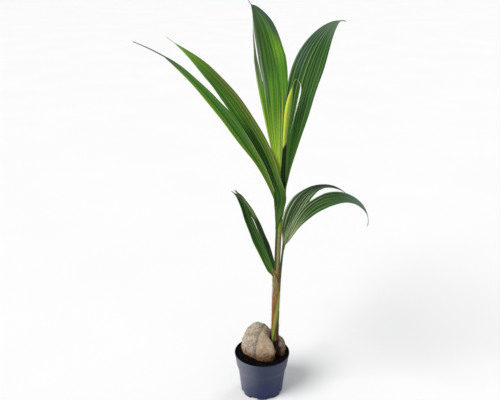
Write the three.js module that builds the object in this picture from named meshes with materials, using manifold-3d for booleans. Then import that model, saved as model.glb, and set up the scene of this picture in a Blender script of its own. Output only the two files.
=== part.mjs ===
// A young coconut palm in a nursery pot. The nut stands half buried in the soil, and the shoot leaves a cleft
// in its husk as a stem of wrapped leaf sheaths. The first leaves are undivided pleated blades, each split
// into two lobes. Millimetres and degrees, +Z up, origin under the middle of the pot. Angles round an upright
// axis start at +X, and -90 is the front.
import * as THREE from "three";
import { mergeVertices } from "three/addons/utils/BufferGeometryUtils.js";
import Module from "manifold-3d";

const wasm = await Module();
wasm.setup();

// Fits
const GAP = 0.3; // clearance between two pieces that touch
const WELD = 1e-3; // corners closer than this are one corner

// Pot
const POT_HEIGHT = 150;
const POT_RIM_RADIUS = 95;
const POT_COLLAR_RADIUS = 88; // at the foot of the collar band
const POT_COLLAR_FOOT = 104;
const POT_SHOULDER_RADIUS = 81; // where the body starts under the collar
const POT_SHOULDER = 84;
const POT_FOOT_RADIUS = 72;
const POT_WALL = 2.4;
const POT_FLOOR = 7;
const POT_SIDES = 48;
const DRAIN_COUNT = 8; // notches that leave as many feet between them
const DRAIN_WIDTH = 23;
const DRAIN_DEPTH = 6;
const DRAIN_HEIGHT = 5;

// Soil
const SOIL_LEVEL = 138;

// Coconut: an upright egg, lower on its right, with three lobes parted by grooves that meet at its apex
const HUSK_CENTRE = new THREE.Vector3(5, 15, 153);
const HUSK_HALF = new THREE.Vector3(77, 60, 109);
const HUSK_APEX = { x: 0.05, y: -0.2 }; // shares of the half sizes
const HUSK_GROOVES = [-124, -50, 100]; // directions from the apex, with the front lobe between the first two
const HUSK_GROOVE = { depth: 0.13, sharpness: 0.7, fade: 0.45 }; // depth as a share of the radius
const HUSK_DROP = { share: 0.7, from: -0.4 }; // how far the right-hand side sinks, and where that starts
const HUSK_SIDES = 30;
const HUSK_RINGS = 16;

// Stem: z runs evenly along its axis, so a height gives its place at once
const STEM_FOOT = SOIL_LEVEL + GAP;
const STEM_TOP = 736;
const STEM_RISE = STEM_TOP - STEM_FOOT;
const STEM_AXIS = new THREE.CubicBezierCurve3(
  new THREE.Vector3(46, 4, STEM_FOOT),
  new THREE.Vector3(44, -1, STEM_FOOT + STEM_RISE / 3),
  new THREE.Vector3(51, -6, STEM_FOOT + (2 * STEM_RISE) / 3),
  new THREE.Vector3(54, -11, STEM_TOP),
);
const STEM_PROFILE = [
  { height: STEM_FOOT, radius: 7.2 },
  { height: 388, radius: 6.6 },
  { height: 618, radius: 8.4 },
  { height: STEM_TOP, radius: 18 }, // the leaf bases open like a funnel
];
const STEM_SIDES = 14;
const STEM_STEPS = 16;

// Sheaths wrapped round the stem, from the inside out. Each covers a turn that narrows to a torn point.
const SHEATHS = {
  olive_sheath: {
    from: 140, to: 628, over: 0.5, thick: 1.6,
    turn: 230, middle: -25, drift: 5, point: 3, finish: "olive_sheath",
  },
  fibre_sheath: {
    from: 140, to: 456, over: 3.1, thick: 2,
    turn: 335, middle: -120, drift: -20, point: 6, finish: "brown_fibre",
  },
  scale_leaf: {
    from: 202, to: 412, over: 5.9, thick: 1.6,
    turn: 95, middle: -108, drift: 82, point: 1.3, finish: "young_leaf",
  },
};
const SHEATH_STEPS = 11;
const SHEATH_SEGMENT = 24; // degrees of turn in one facet
const SHEATH_POINT_SHARE = 0.06; // of the turn that is left at the torn point

// Every blade and limb follows one rule: it leaves its root at a heading and a launch slope, and both swing
// towards the tip by the power "bend".
const RIGHT_PETIOLE = {
  root: [58, -8, 385], length: 172, heading: -60, sweep: 0, launch: 88, tip: 80, bend: 1.5,
};
const PETIOLE_RADIUS = { root: 4, tip: 3.4 };
const PETIOLE_SIDES = 8;
const PETIOLE_STEPS = 6;

const SPEAR = { root: [56, -8, 732], length: 350, heading: -10, sweep: 0, launch: 88, tip: 81, bend: 1 };
const SPEAR_HALF = { across: 6, through: 11 };
const SPEAR_SWELL = { root: 0.55, widest: 0.7, tip: 0.14, fall: 2.2 }; // shares of the half width and length
const SPEAR_SIDES = 12;
const SPEAR_STEPS = 10;

// The thread that held the spear's tip folded, sprung loose in a narrow hook and hanging
const THREAD = { hook: 11.5, drop: 150, back: 12, radius: 1.5, sides: 6, steps: 18 };

// Roll turns the upper face about the rib, lean sets the rib off the middle, and taper holds the powers of the
// narrowing and of the tip.
const BLADES = {
  top_frond_left_lobe: {
    root: [56, 5, 734], length: 611, heading: 112, sweep: 76, launch: 76, tip: 53, bend: 5.7,
    width: 98, widest: 0.69, neck: 0.08, tail: 0.03, taper: [1, 0.53],
    roll: [-42, -23], lean: 0.14, cup: [140, 34], pleats: 5,
  },
  top_frond_right_lobe: {
    root: [66, 5, 734], length: 644, heading: 36, sweep: 18, launch: 82, tip: -16, bend: 3.65,
    width: 103, widest: 0.59, neck: 0.36, tail: 0.04, taper: [1.7, 1.2],
    roll: [-2, 46], lean: 0.15, cup: [140, 34], pleats: 5,
  },
  left_frond_far_lobe: {
    root: [45, -25, 732], length: 622, heading: 118, sweep: 86, launch: 67, tip: 36, bend: 1,
    width: 93, widest: 0.74, neck: 0.47, tail: 0.05, taper: [1.4, 0.76],
    roll: [-25, -23], lean: -0.46, cup: [110, 40], pleats: 5,
  },
  left_frond_near_lobe: {
    root: [37, -23, 723], length: 667, heading: -165, sweep: -10, launch: 69.5, tip: 21.4, bend: 1.5,
    width: 46, widest: 0.36, neck: 0.32, tail: 0.13, taper: [2.26, 1.06],
    roll: [-64, -66], lean: -1.02, cup: [110, 40], pleats: 4,
  },
  right_frond_far_lobe: {
    root: [66, -24, 553], length: 357, heading: 63, sweep: -84, launch: 69, tip: -42, bend: 1.7,
    width: 70, widest: 0.43, neck: 0.33, tail: 0.03, taper: [1.9, 1],
    roll: [-13, -1], lean: 0.38, cup: [130, 30], pleats: 4, split: 0.6,
  },
  right_frond_near_lobe: {
    root: [67, -29, 553], length: 420, heading: -32, sweep: 44, launch: 63, tip: -104, bend: 2.7,
    width: 54, widest: 0.56, neck: 0.1, tail: 0.03, taper: [1, 1.2],
    roll: [67, -4], lean: -0.37, cup: [130, 30], pleats: 4, split: 0.66,
  },
  low_frond_far_lobe: {
    root: [43, 5, 445], length: 324, heading: 162, sweep: -43, launch: 70, tip: 19, bend: 3.3,
    width: 54, widest: 0.57, neck: 0.35, tail: 0.02, taper: [1.3, 0.8],
    roll: [-13, 40], lean: 0.23, cup: [130, 30], pleats: 4,
  },
  low_frond_near_lobe: {
    root: [41, 2, 435], length: 316, heading: 141, sweep: 35, launch: 60, tip: 37, bend: 6.8,
    width: 37, widest: 0.7, neck: 0.52, tail: 0.02, taper: [2, 0.74],
    roll: [-75, 15], lean: -0.52, cup: [130, 30], pleats: 3,
  },
};
const BLADE_STEPS = 15;
const BLADE_RISE = 1.5; // power of the swelling from the neck
const BLADE_OPENS = 0.45; // share of the length over which the gutter opens into a flat blade
const BLADE_THICKNESS = { share: 0.012, edge: 0.45, tip: 0.35 }; // share of the length, and what is left
const BLADE_TIP_WIDTH = 2.4;
const PLEAT_DEPTH = 0.3; // share of the width of one fold
const RIB_STEPS = 60; // for adding up a rib

// Finishes
const finish = (color, roughness) => new THREE.MeshStandardMaterial({ color, roughness, metalness: 0 });
const MATERIALS = {
  pot_plastic: finish(0x4a5068, 0.5),
  soil: finish(0x120e0c, 0.95),
  husk: finish(0xb7a58a, 0.9),
  green_stem: finish(0x3f6b22, 0.5),
  olive_sheath: finish(0x8d7c3e, 0.7),
  brown_fibre: finish(0x8a5f38, 0.9),
  young_leaf: finish(0xb4c636, 0.45),
  pale_thread: finish(0xd5dcc4, 0.6),
  leaf: finish(0x2f6b20, 0.4),
};

const { degToRad: radians, radToDeg: degrees, lerp: mix } = THREE.MathUtils;
const { inverseLerp, euclideanModulo, smoothstep, clamp } = THREE.MathUtils;
const UP = new THREE.Vector3(0, 0, 1);

// Solids: three.js geometry, reshaped corner by corner, and joined or cut where pieces meet

function bareGeometry(geometry) {
  geometry.deleteAttribute("normal");
  geometry.deleteAttribute("uv");
  return mergeVertices(geometry, WELD);
}

function reshape(geometry, place) {
  const bare = bareGeometry(geometry);
  const corners = bare.attributes.position;
  const corner = new THREE.Vector3();
  for (let i = 0; i < corners.count; i++) {
    const moved = place(corner.fromBufferAttribute(corners, i));
    corners.setXYZ(i, moved.x, moved.y, moved.z);
  }
  return bare;
}

function solidOf(geometry) {
  return new wasm.Manifold(
    new wasm.Mesh({
      numProp: 3,
      vertProperties: new Float32Array(geometry.attributes.position.array),
      triVerts: new Uint32Array(geometry.index.array),
    }),
  );
}

function geometryOf(solid) {
  const mesh = solid.getMesh();
  return new THREE.BufferGeometry()
    .setAttribute("position", new THREE.BufferAttribute(mesh.vertProperties, 3))
    .setIndex(new THREE.BufferAttribute(mesh.triVerts, 1));
}

// A cut can leave scraps behind: only the largest body is the piece.
function cutBy(solid, cutters) {
  const rest = cutters.reduce((left, cutter) => left.subtract(cutter), solid);
  return rest.decompose().reduce((best, body) => (body.volume() > best.volume() ? body : best));
}

// The growing rule

// A direction turned from one to another square to it
function blended(first, second, angle) {
  return first.clone().multiplyScalar(Math.cos(angle)).addScaledVector(second, Math.sin(angle));
}

function ribFrame(rule, s) {
  const swing = s ** rule.bend;
  const heading = radians(rule.heading + rule.sweep * swing);
  const slope = radians(mix(rule.launch, rule.tip, swing));
  const ahead = new THREE.Vector3(Math.cos(heading), Math.sin(heading), 0);
  const along = blended(ahead, UP, slope);
  const face = blended(UP, ahead, -slope);
  const across = ahead.clone().cross(UP);
  return { along, face, across };
}

function ribPoints(rule) {
  const points = [new THREE.Vector3(...rule.root)];
  for (let i = 0; i < RIB_STEPS; i++) {
    const { along } = ribFrame(rule, (i + 0.5) / RIB_STEPS);
    points.push(points[i].clone().addScaledVector(along, rule.length / RIB_STEPS));
  }
  return points;
}

function ribPoint(points, s) {
  const place = s * RIB_STEPS;
  const i = Math.min(Math.floor(place), RIB_STEPS - 1);
  return points[i].clone().lerp(points[i + 1], place - i);
}

// Limbs: round tapering pieces along a rib

function limb(rule, sides, steps, halfWidths, grow) {
  const points = ribPoints(rule);
  return reshape(new THREE.CylinderGeometry(1, 1, 1, sides, steps), (unit) => {
    const s = unit.y + 0.5;
    const { along, face, across } = ribFrame(rule, s);
    const half = halfWidths(s);
    return ribPoint(points, s)
      .addScaledVector(along, 2 * unit.y * grow)
      .addScaledVector(across, unit.x * (half.across + grow))
      .addScaledVector(face, unit.z * (half.through + grow));
  });
}

function petioleHalf(s) {
  const half = mix(PETIOLE_RADIUS.root, PETIOLE_RADIUS.tip, s);
  return { across: half, through: half };
}

function petioleSolid(grow = 0) {
  return solidOf(limb(RIGHT_PETIOLE, PETIOLE_SIDES, PETIOLE_STEPS, petioleHalf, grow));
}

function spearHalf(s) {
  const { root, widest, tip, fall } = SPEAR_SWELL;
  const past = Math.max(s - widest, 0) / (1 - widest);
  const swell = s < widest ? mix(root, 1, s / widest) : Math.max(1 - past ** fall, tip);
  return { across: SPEAR_HALF.across * swell, through: SPEAR_HALF.through * swell };
}

function spearSolid(grow = 0) {
  return solidOf(limb(SPEAR, SPEAR_SIDES, SPEAR_STEPS, spearHalf, grow));
}

// Thread: up from the spear's tip, over in a half turn and down again

function threadSolid() {
  const { hook, drop, back, radius, sides, steps } = THREAD;
  const start = ribPoints(SPEAR)[RIB_STEPS].addScaledVector(UP, GAP);
  const from = (x, y, z) => start.clone().add(new THREE.Vector3(x, y, z));
  const path = new THREE.CatmullRomCurve3([
    start,
    from(0.2 * hook, 0, hook),
    from(hook, 0, 1.5 * hook),
    from(2 * hook, 0.15 * back, -0.5 * hook),
    from(1.2 * hook, 0.5 * back, -0.42 * drop),
    from(-0.5 * hook, back, -drop),
  ]);
  const ring = new THREE.Shape().absarc(0, 0, radius, 0, 2 * Math.PI);
  const options = { extrudePath: path, steps, curveSegments: sides / 2 };
  return solidOf(bareGeometry(new THREE.ExtrudeGeometry(ring, options)));
}

// Stem and the sheaths round it

function stemRadius(height) {
  const next = STEM_PROFILE.findIndex((knot, i) => i > 0 && height <= knot.height);
  const upper = next > 0 ? next : STEM_PROFILE.length - 1;
  const [low, high] = STEM_PROFILE.slice(upper - 1, upper + 1);
  return mix(low.radius, high.radius, smoothstep(height, low.height, high.height));
}

function aroundStem(height, angle, radius) {
  const share = clamp((height - STEM_FOOT) / STEM_RISE, 0, 1);
  const reach = new THREE.Vector3(Math.cos(angle) * radius, Math.sin(angle) * radius, 0);
  return STEM_AXIS.getPoint(share).setZ(height).add(reach);
}

function stemSolid(grow = 0) {
  return solidOf(
    reshape(new THREE.CylinderGeometry(1, 1, 1, STEM_SIDES, STEM_STEPS), (unit) => {
      const height = mix(STEM_FOOT - grow, STEM_TOP + grow, unit.y + 0.5);
      const reach = Math.hypot(unit.x, unit.z) * (stemRadius(height) + grow);
      return aroundStem(height, Math.atan2(-unit.z, unit.x), reach);
    }),
  );
}

function sheathSolid({ from, to, over, thick, turn, middle, drift, point }, grow = 0) {
  const facets = Math.max(6, Math.round(turn / SHEATH_SEGMENT));
  return solidOf(
    reshape(new THREE.BoxGeometry(1, 1, 1, facets, SHEATH_STEPS, 1), (unit) => {
      const s = unit.y + 0.5;
      const height = mix(from - grow, to + grow, s);
      const halfTurn = radians(turn / 2) * Math.max(1 - s ** point, SHEATH_POINT_SHARE);
      const inner = stemRadius(height) + GAP + over;
      const radius = inner + (unit.z + 0.5) * thick + 2 * unit.z * grow;
      const angle = radians(middle + drift * s) + 2 * unit.x * (halfTurn + grow / radius);
      return aroundStem(height, angle, radius);
    }),
  );
}

// Blades

function bladeWidth({ width, widest, neck, tail, taper: [narrowing, tip] }, s) {
  if (s < widest) return width * mix(neck, 1, Math.sin((Math.PI / 2) * (s / widest)) ** BLADE_RISE);
  const past = Math.min((s - widest) / (1 - tail - widest), 1);
  return Math.max(width * (1 - past ** narrowing) ** tip, BLADE_TIP_WIDTH);
}

function bladeSolid(rule, from = 0, to = 1, grow = 0) {
  const folds = rule.pleats * 2;
  const steps = Math.max(4, Math.round(BLADE_STEPS * (to - from)));
  const points = ribPoints(rule);
  const blade = reshape(new THREE.BoxGeometry(1, 1, 1, folds, steps, 1), (unit) => {
    const s = mix(from, to, unit.y + 0.5);
    const { along, face, across } = ribFrame(rule, s);
    const roll = radians(mix(rule.roll[0], rule.roll[1], s));
    const normal = blended(face, across, roll);
    const sideways = along.clone().cross(normal);
    const opening = smoothstep(s, 0, BLADE_OPENS);
    const cup = radians(mix(rule.cup[0], rule.cup[1], opening));
    const side = 2 * unit.x;
    const turn = ((side + rule.lean * opening) * cup) / 2;
    const surface = blended(normal, sideways, -turn);
    const width = bladeWidth(rule, s) + 2 * grow;
    const fold = Math.round((side + 1) * rule.pleats) % 2 ? 1 : -1;
    const pleat = ((fold * PLEAT_DEPTH * width) / folds) * opening;
    const { share, edge, tip } = BLADE_THICKNESS;
    const thick = share * rule.length * mix(1, edge, side ** 2) * mix(1, tip, s) + 2 * grow;
    return ribPoint(points, s)
      .addScaledVector(along, 2 * unit.y * grow)
      .addScaledVector(sideways, (Math.sin(turn) * width) / cup)
      .addScaledVector(normal, ((1 - Math.cos(turn)) * width) / cup)
      .addScaledVector(surface, pleat + unit.z * thick);
  });
  return solidOf(blade);
}

// Pot, soil and nut

// Lathes and spheres turn about Y: this stands their axis upright.
const upright = ({ x, y, z }) => new THREE.Vector3(x, -z, y);

function turned(profile) {
  const points = profile.map(([radius, height]) => new THREE.Vector2(radius, height));
  return solidOf(reshape(new THREE.LatheGeometry(points, POT_SIDES), upright));
}

const POT_OUTLINE = [
  [POT_FOOT_RADIUS, 0],
  [POT_SHOULDER_RADIUS, POT_SHOULDER],
  [POT_COLLAR_RADIUS, POT_COLLAR_FOOT],
  [POT_RIM_RADIUS, POT_HEIGHT],
];

function insideWall(height, inset) {
  const upper = Math.max(1, POT_OUTLINE.findIndex(([, z]) => z >= height));
  const [[r0, z0], [r1, z1]] = [POT_OUTLINE[upper - 1], POT_OUTLINE[upper]];
  return [mix(r0, r1, (height - z0) / (z1 - z0)) - inset, height];
}

function potSolid() {
  const inner = [POT_HEIGHT, POT_COLLAR_FOOT, POT_SHOULDER, POT_FLOOR];
  const shell = turned([
    [0, 0],
    ...POT_OUTLINE,
    ...inner.map((height) => insideWall(height, POT_WALL)),
    [0, POT_FLOOR],
  ]);
  const drains = Array.from({ length: DRAIN_COUNT }, (_, i) => {
    const notch = new THREE.BoxGeometry(2 * DRAIN_DEPTH, DRAIN_WIDTH, 2 * DRAIN_HEIGHT);
    notch.translate(POT_FOOT_RADIUS, 0, 0).rotateZ(((i + 0.5) * 2 * Math.PI) / DRAIN_COUNT);
    return solidOf(bareGeometry(notch));
  });
  return cutBy(shell, drains);
}

function soilSolid() {
  const edge = [POT_FLOOR + GAP, POT_SHOULDER, POT_COLLAR_FOOT, SOIL_LEVEL];
  return turned([
    [0, POT_FLOOR + GAP],
    ...edge.map((height) => insideWall(height, POT_WALL + GAP)),
    [0, SOIL_LEVEL],
  ]);
}

// 0 in a groove and 1 in the middle of a lobe
function lobeShare(angle) {
  const ends = [...HUSK_GROOVES, HUSK_GROOVES[0] + 360];
  const turn = ends[0] + euclideanModulo(angle - ends[0], 360);
  const next = Math.max(1, ends.findIndex((end) => turn <= end));
  return Math.sin(Math.PI * inverseLerp(ends[next - 1], ends[next], turn));
}

function huskSolid(grow = 0) {
  const { depth, sharpness, fade } = HUSK_GROOVE;
  const husk = reshape(new THREE.SphereGeometry(1, HUSK_SIDES, HUSK_RINGS), (unit) => {
    const place = upright(unit);
    const aside = { x: place.x - HUSK_APEX.x, y: place.y - HUSK_APEX.y };
    const lobe = lobeShare(degrees(Math.atan2(aside.y, aside.x))) ** sharpness;
    const groove = depth * (1 - lobe) * smoothstep(Math.hypot(aside.x, aside.y), 0, fade);
    const sink = 1 - HUSK_DROP.share * smoothstep(place.x, HUSK_DROP.from, 1) * Math.max(place.z, 0);
    const half = HUSK_HALF.clone().addScalar(grow);
    return place
      .multiply(half)
      .multiply(new THREE.Vector3(1, 1, sink))
      .multiplyScalar(1 - groove)
      .add(HUSK_CENTRE);
  });
  return solidOf(husk);
}

// Assembly: inner pieces first, and each later piece is cut clear of those it grows over

const palm = new THREE.Group();

function add(name, solid, material) {
  const mesh = new THREE.Mesh(geometryOf(solid), MATERIALS[material]);
  mesh.name = name;
  palm.add(mesh);
}

const shoot = [stemSolid(GAP), ...Object.values(SHEATHS).map((sheath) => sheathSolid(sheath, GAP))];
const nut = huskSolid(GAP);

add("pot", potSolid(), "pot_plastic");
add("soil", cutBy(soilSolid(), [nut]), "soil");
add("coconut_husk", cutBy(huskSolid(), shoot), "husk");
add("stem_core", stemSolid(), "green_stem");
Object.entries(SHEATHS).forEach(([name, sheath], i) => {
  add(name, cutBy(sheathSolid(sheath), shoot.slice(0, i + 1)), sheath.finish);
});
add("right_petiole", cutBy(petioleSolid(), shoot), "green_stem");
add("spear", cutBy(spearSolid(), shoot), "young_leaf");
add("spear_thread", cutBy(threadSolid(), [spearSolid(GAP)]), "pale_thread");

// Fronds: each lobe clasps the stem and the lobes before it
const inTheWay = [...shoot, petioleSolid(GAP), spearSolid(GAP)];
for (const [name, rule] of Object.entries(BLADES)) {
  const bend = rule.split ?? 1;
  add(name, cutBy(bladeSolid(rule, 0, bend), inTheWay), "leaf");
  if (rule.split) {
    const afterBend = bend + GAP / rule.length;
    add(name.replace("lobe", "tip"), cutBy(bladeSolid(rule, afterBend, 1), inTheWay), "leaf");
  }
  inTheWay.push(bladeSolid(rule, 0, 1, GAP));
}

export default palm;
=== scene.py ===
# %% [markdown]
# # A young coconut palm in a nursery pot
#
# The solid model gives every piece its place and size. This lesson grows each piece again, finer and a
# little closer to the photograph, and paints it: a moulded pot, moist soil, a weathered nut, a stem in torn
# sheaths and pleated leaves. The frame is loaded first, because every later step is measured against it.

# %% Load the frame
import math

import bpy
import numpy as np
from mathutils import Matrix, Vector, noise


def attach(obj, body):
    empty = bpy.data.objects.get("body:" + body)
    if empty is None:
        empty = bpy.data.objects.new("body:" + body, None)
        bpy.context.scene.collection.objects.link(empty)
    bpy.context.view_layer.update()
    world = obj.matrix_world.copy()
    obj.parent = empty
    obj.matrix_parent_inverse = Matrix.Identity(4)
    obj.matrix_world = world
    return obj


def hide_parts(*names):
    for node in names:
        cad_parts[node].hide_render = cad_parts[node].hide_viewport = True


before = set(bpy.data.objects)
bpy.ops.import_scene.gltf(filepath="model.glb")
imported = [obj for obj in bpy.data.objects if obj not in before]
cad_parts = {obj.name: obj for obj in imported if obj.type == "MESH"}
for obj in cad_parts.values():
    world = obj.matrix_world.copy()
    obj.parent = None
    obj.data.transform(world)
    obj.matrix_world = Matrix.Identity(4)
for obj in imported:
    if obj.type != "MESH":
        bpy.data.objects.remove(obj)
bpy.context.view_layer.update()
MM = 0.001

# %% [markdown]
# ## The camera
#
# The pot's rim is a circle that the photograph shows as an ellipse, so its shape gives the camera's height
# and tilt, and its width gives the distance. The lens follows from the focal length in pixels. Placing the
# camera first means that every later piece can be judged in the photograph's own frame.

# %% Place the camera
PHOTO_WIDTH = 500  # pixels
FOCAL_LENGTH = 671  # pixels
SENSOR_WIDTH = 36  # millimetres
CAMERA_PLACE = (-0.0418, -2.0, 1.4636)
CAMERA_DIP = 20.6  # degrees below the horizon

bpy.ops.object.select_all(action="DESELECT")
bpy.ops.object.camera_add(location=CAMERA_PLACE, rotation=(math.radians(90 - CAMERA_DIP), 0, 0))
camera = bpy.context.object
camera.data.sensor_width = SENSOR_WIDTH
camera.data.lens = SENSOR_WIDTH * FOCAL_LENGTH / PHOTO_WIDTH
bpy.context.scene.camera = camera
print("camera lens", round(camera.data.lens, 2), "mm")

# %% [markdown]
# ## Handling a piece
#
# Most pieces start as a primitive, which is added with nothing else selected, and a modifier is applied at
# once. A finished piece stands at the origin with its place in its mesh. The last helper hands it to the
# frame, in place of its plain solids, and prints its size.

# %% Helpers for making pieces
def primitive(add, name, **sizes):
    bpy.ops.object.select_all(action="DESELECT")
    add(**sizes)
    piece = bpy.context.object
    piece.name = name
    return piece


def corners_of(piece):
    flat = np.empty(3 * len(piece.data.vertices), np.float32)
    piece.data.vertices.foreach_get("co", flat)
    return flat.reshape(-1, 3).astype(float)


def modify(piece, kind, **settings):
    bpy.ops.object.modifier_add(type=kind)
    modifier = piece.modifiers[-1]
    for key, value in settings.items():
        setattr(modifier, key, value)
    bpy.ops.object.modifier_apply(modifier=modifier.name)


def hand_over(piece, slot, finish, *nodes):
    piece.data.materials.clear()
    piece.data.materials.append(finish)
    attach(piece, "root")
    if nodes:
        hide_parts(*nodes)
    low, high = corners_of(piece).min(0), corners_of(piece).max(0)
    print(f"{piece.name}: {len(piece.data.polygons)} faces, {np.round((high - low) / MM)} mm")


# %% [markdown]
# ## The pot
#
# A nursery pot is blown or moulded from thin dark plastic: a tapering body, a slanted shoulder, a taller
# collar to grip and a rounded rim. It could be a turned profile. Here a circle is extruded ring by ring, as
# by hand, up the outside, over the rim and down the inside, so that the wall has its real thickness.

# %% Model the pot
POT_OUTSIDE = [(72, 0), (81, 84), (82, 86), (87, 102.4), (88, 104.6), (94.4, 146), (95, 147.2)]
POT_RIM = [(95, 149.2), (94.2, 150), (93, 150)]
POT_INSIDE = [(92.2, 149.2), (91.9, 146), (85.6, 104.6), (78.6, 84), (70.2, 7)]
POT_FOOT = POT_OUTSIDE[0][0]
POT_SIDES = 144


def close_shell():
    """Fills the last ring, turns all faces outwards and leaves edit mode."""
    bpy.ops.mesh.edge_face_add()
    bpy.ops.mesh.select_all(action="SELECT")
    bpy.ops.mesh.normals_make_consistent(inside=False)
    bpy.ops.object.mode_set(mode="OBJECT")


pot = primitive(bpy.ops.mesh.primitive_circle_add, "nursery_pot", vertices=POT_SIDES, radius=POT_FOOT * MM)
bpy.ops.object.mode_set(mode="EDIT")
bpy.ops.mesh.edge_face_add()
bpy.ops.mesh.select_mode(type="EDGE")
rings = POT_OUTSIDE + POT_RIM + POT_INSIDE
for (radius, height), (next_radius, next_height) in zip(rings, rings[1:]):
    rise = (0, 0, (next_height - height) * MM)
    bpy.ops.mesh.extrude_edges_move(TRANSFORM_OT_translate={"value": rise})
    bpy.ops.transform.resize(value=(next_radius / radius, next_radius / radius, 1))
close_shell()
print("pot height", round(corners_of(pot)[:, 2].max() / MM, 1), "mm")

# %% [markdown]
# Water runs off through notches in the foot. Each could be cut in edit mode, but a box across the wall is
# easier to place. The boxes are joined and taken away in one Boolean, and a bevel then rounds every sharp
# edge.

# %% Cut the drainage notches
DRAINS = 8
DRAIN = {"through": 14, "wide": 25, "high": 8.5}
POT_BEVEL = 0.7
SHARP_FROM = 25  # degrees between two faces
SMOOTH_TO = 40


def pick(piece):
    bpy.ops.object.select_all(action="DESELECT")
    bpy.context.view_layer.objects.active = piece
    piece.select_set(True)


notches = []
for i in range(DRAINS):
    angle = (i + 0.5) * math.tau / DRAINS
    at = (POT_FOOT * MM * math.cos(angle), POT_FOOT * MM * math.sin(angle), 0)
    notch = primitive(bpy.ops.mesh.primitive_cube_add, "notch", size=1, location=at, rotation=(0, 0, angle))
    notch.scale = Vector((DRAIN["through"], DRAIN["wide"], 2 * DRAIN["high"])) * MM
    notches.append(notch)
for notch in notches:
    notch.select_set(True)
bpy.ops.object.join()
cutter = bpy.context.object
pick(pot)
modify(pot, "BOOLEAN", operation="DIFFERENCE", solver="EXACT", object=cutter)
bpy.data.objects.remove(cutter)
sharp = math.radians(SHARP_FROM)
modify(pot, "BEVEL", width=POT_BEVEL * MM, segments=2, limit_method="ANGLE", angle_limit=sharp)
bpy.ops.object.shade_smooth_by_angle(angle=math.radians(SMOOTH_TO))
print("pot faces", len(pot.data.polygons))

# %% [markdown]
# ## Paint
#
# A finish is a small network of shader nodes. Written node by node it is hard to read, so one class wraps a
# socket and lets it be added and multiplied like a number. Each operator adds one Math node, and any other
# node comes from a single method. Most finishes here are coats: a ground colour, and others laid over it in
# shares.

# %% The paint class
class Paint:
    def __init__(self, tree, socket=None):
        self.tree = tree
        self.socket = socket

    def node(self, kind, out=0, sockets=None, **settings):
        made = self.tree.nodes.new("ShaderNode" + kind)
        for key, value in settings.items():
            setattr(made, key, value)
        for key, value in (sockets or {}).items():
            if isinstance(value, Paint):
                self.tree.links.new(value.socket, made.inputs[key])
            else:
                made.inputs[key].default_value = value
        return Paint(self.tree, made.outputs[out])

    def maths(self, operation, *others):
        return self.node("Math", sockets=dict(enumerate([self, *others])), operation=operation)

    def __add__(self, other):
        return self.maths("ADD", other)

    def __sub__(self, other):
        return self.maths("SUBTRACT", other)

    def __rsub__(self, other):
        return self.node("Math", sockets={0: other, 1: self}, operation="SUBTRACT")

    def __mul__(self, other):
        return self.maths("MULTIPLY", other)

    def __pow__(self, other):
        return self.maths("POWER", other)

    __radd__ = __add__
    __rmul__ = __mul__

    def between(self, low, high):
        """0 below low, 1 above high, and smooth in between."""
        sockets = {"Value": self, "From Min": low, "From Max": high}
        return self.node("MapRange", sockets=sockets, interpolation_type="SMOOTHSTEP")

    def window(self, low, high, soft):
        """1 from low to high and 0 outside, with borders that are soft by so much to either side."""
        return self.between(low - soft, low + soft) * (1 - self.between(high - soft, high + soft))

    def attribute(self, name):
        return self.node("Attribute", "Fac", attribute_name=name)

    def place(self):
        return self.node("TexCoord", "Object")

    def axes(self):
        split = self.node("SeparateXYZ", sockets={0: self.place()})
        return [Paint(self.tree, split.socket.node.outputs[i]) for i in range(3)]

    def spot(self, x, y, z=0.0):
        return self.node("CombineXYZ", sockets={0: x, 1: y, 2: z})

    def grain(self, where, scale=1.0, detail=3.0, rough=0.55):
        sockets = {"Vector": where, "Scale": scale, "Detail": detail, "Roughness": rough}
        return self.node("TexNoise", sockets=sockets)

    def coats(self, ground, *coats):
        """A ground colour with others laid over it in turn, each where and as far as its share says."""
        for colour, share in coats:
            ends = [end if isinstance(end, Paint) else (*end, 1) for end in (ground, colour)]
            ground = self.node("Mix", 2, {0: share, 6: ends[0], 7: ends[1]}, data_type="RGBA")
        return ground


# %% [markdown]
# Three helpers start a finish, link what varies to the shader, and turn the levels that a screen shows into
# the shares of light that the shader works with.

# %% Helpers for finishes
def new_finish(name):
    material = bpy.data.materials.new(name)
    material.use_nodes = True
    return material, Paint(material.node_tree)


def wire(material, colour, roughness, height=None, depth=0.0, shine=0.5):
    """What varies is linked to the shader, and the strength of its shine is set on its own socket."""
    tree = material.node_tree
    shader = tree.nodes["Principled BSDF"]
    shader.inputs["Specular IOR Level"].default_value = shine
    tree.links.new(colour.socket, shader.inputs["Base Color"])
    tree.links.new(roughness.socket, shader.inputs["Roughness"])
    if height:
        bump = height.node("Bump", sockets={"Strength": 1.0, "Distance": depth, "Height": height})
        tree.links.new(bump.socket, shader.inputs["Normal"])


def srgb(*levels):
    shares = [level / 255 for level in levels]
    return tuple(c / 12.92 if c <= 0.04045 else ((c + 0.055) / 1.055) ** 2.4 for c in shares)


# %% [markdown]
# The plastic is dark blue-grey with a satin face. Painted light makes it greyer on the upper left, and
# painted shade makes it darker navy towards the right and the foot. Real pots are never clean: fine scuffs
# run round the collar and handling leaves pale dust. The inside under the rim is painted nearly black. A
# second material could paint the inside. Here the middle of the collar's wall tells inside from outside, so
# one finish serves.

# %% Paint the pot
POT_LIT_GREY = srgb(98, 101, 117)
POT_BLUE_HALF_SHADE = srgb(38, 48, 76)
POT_SHADED_NAVY = srgb(8, 28, 82)
POT_DUST = srgb(150, 152, 158)
POT_INNER = srgb(10, 9, 10)
POT_WALL = 2.4
(low_radius, low_height), (high_radius, high_height) = POT_OUTSIDE[4:6]
COLLAR_SLOPE = (high_radius - low_radius) / (high_height - low_height)
COLLAR_MIDDLE = (low_radius - POT_WALL / 2 - COLLAR_SLOPE * low_height) * MM  # carried down to the ground

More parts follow.
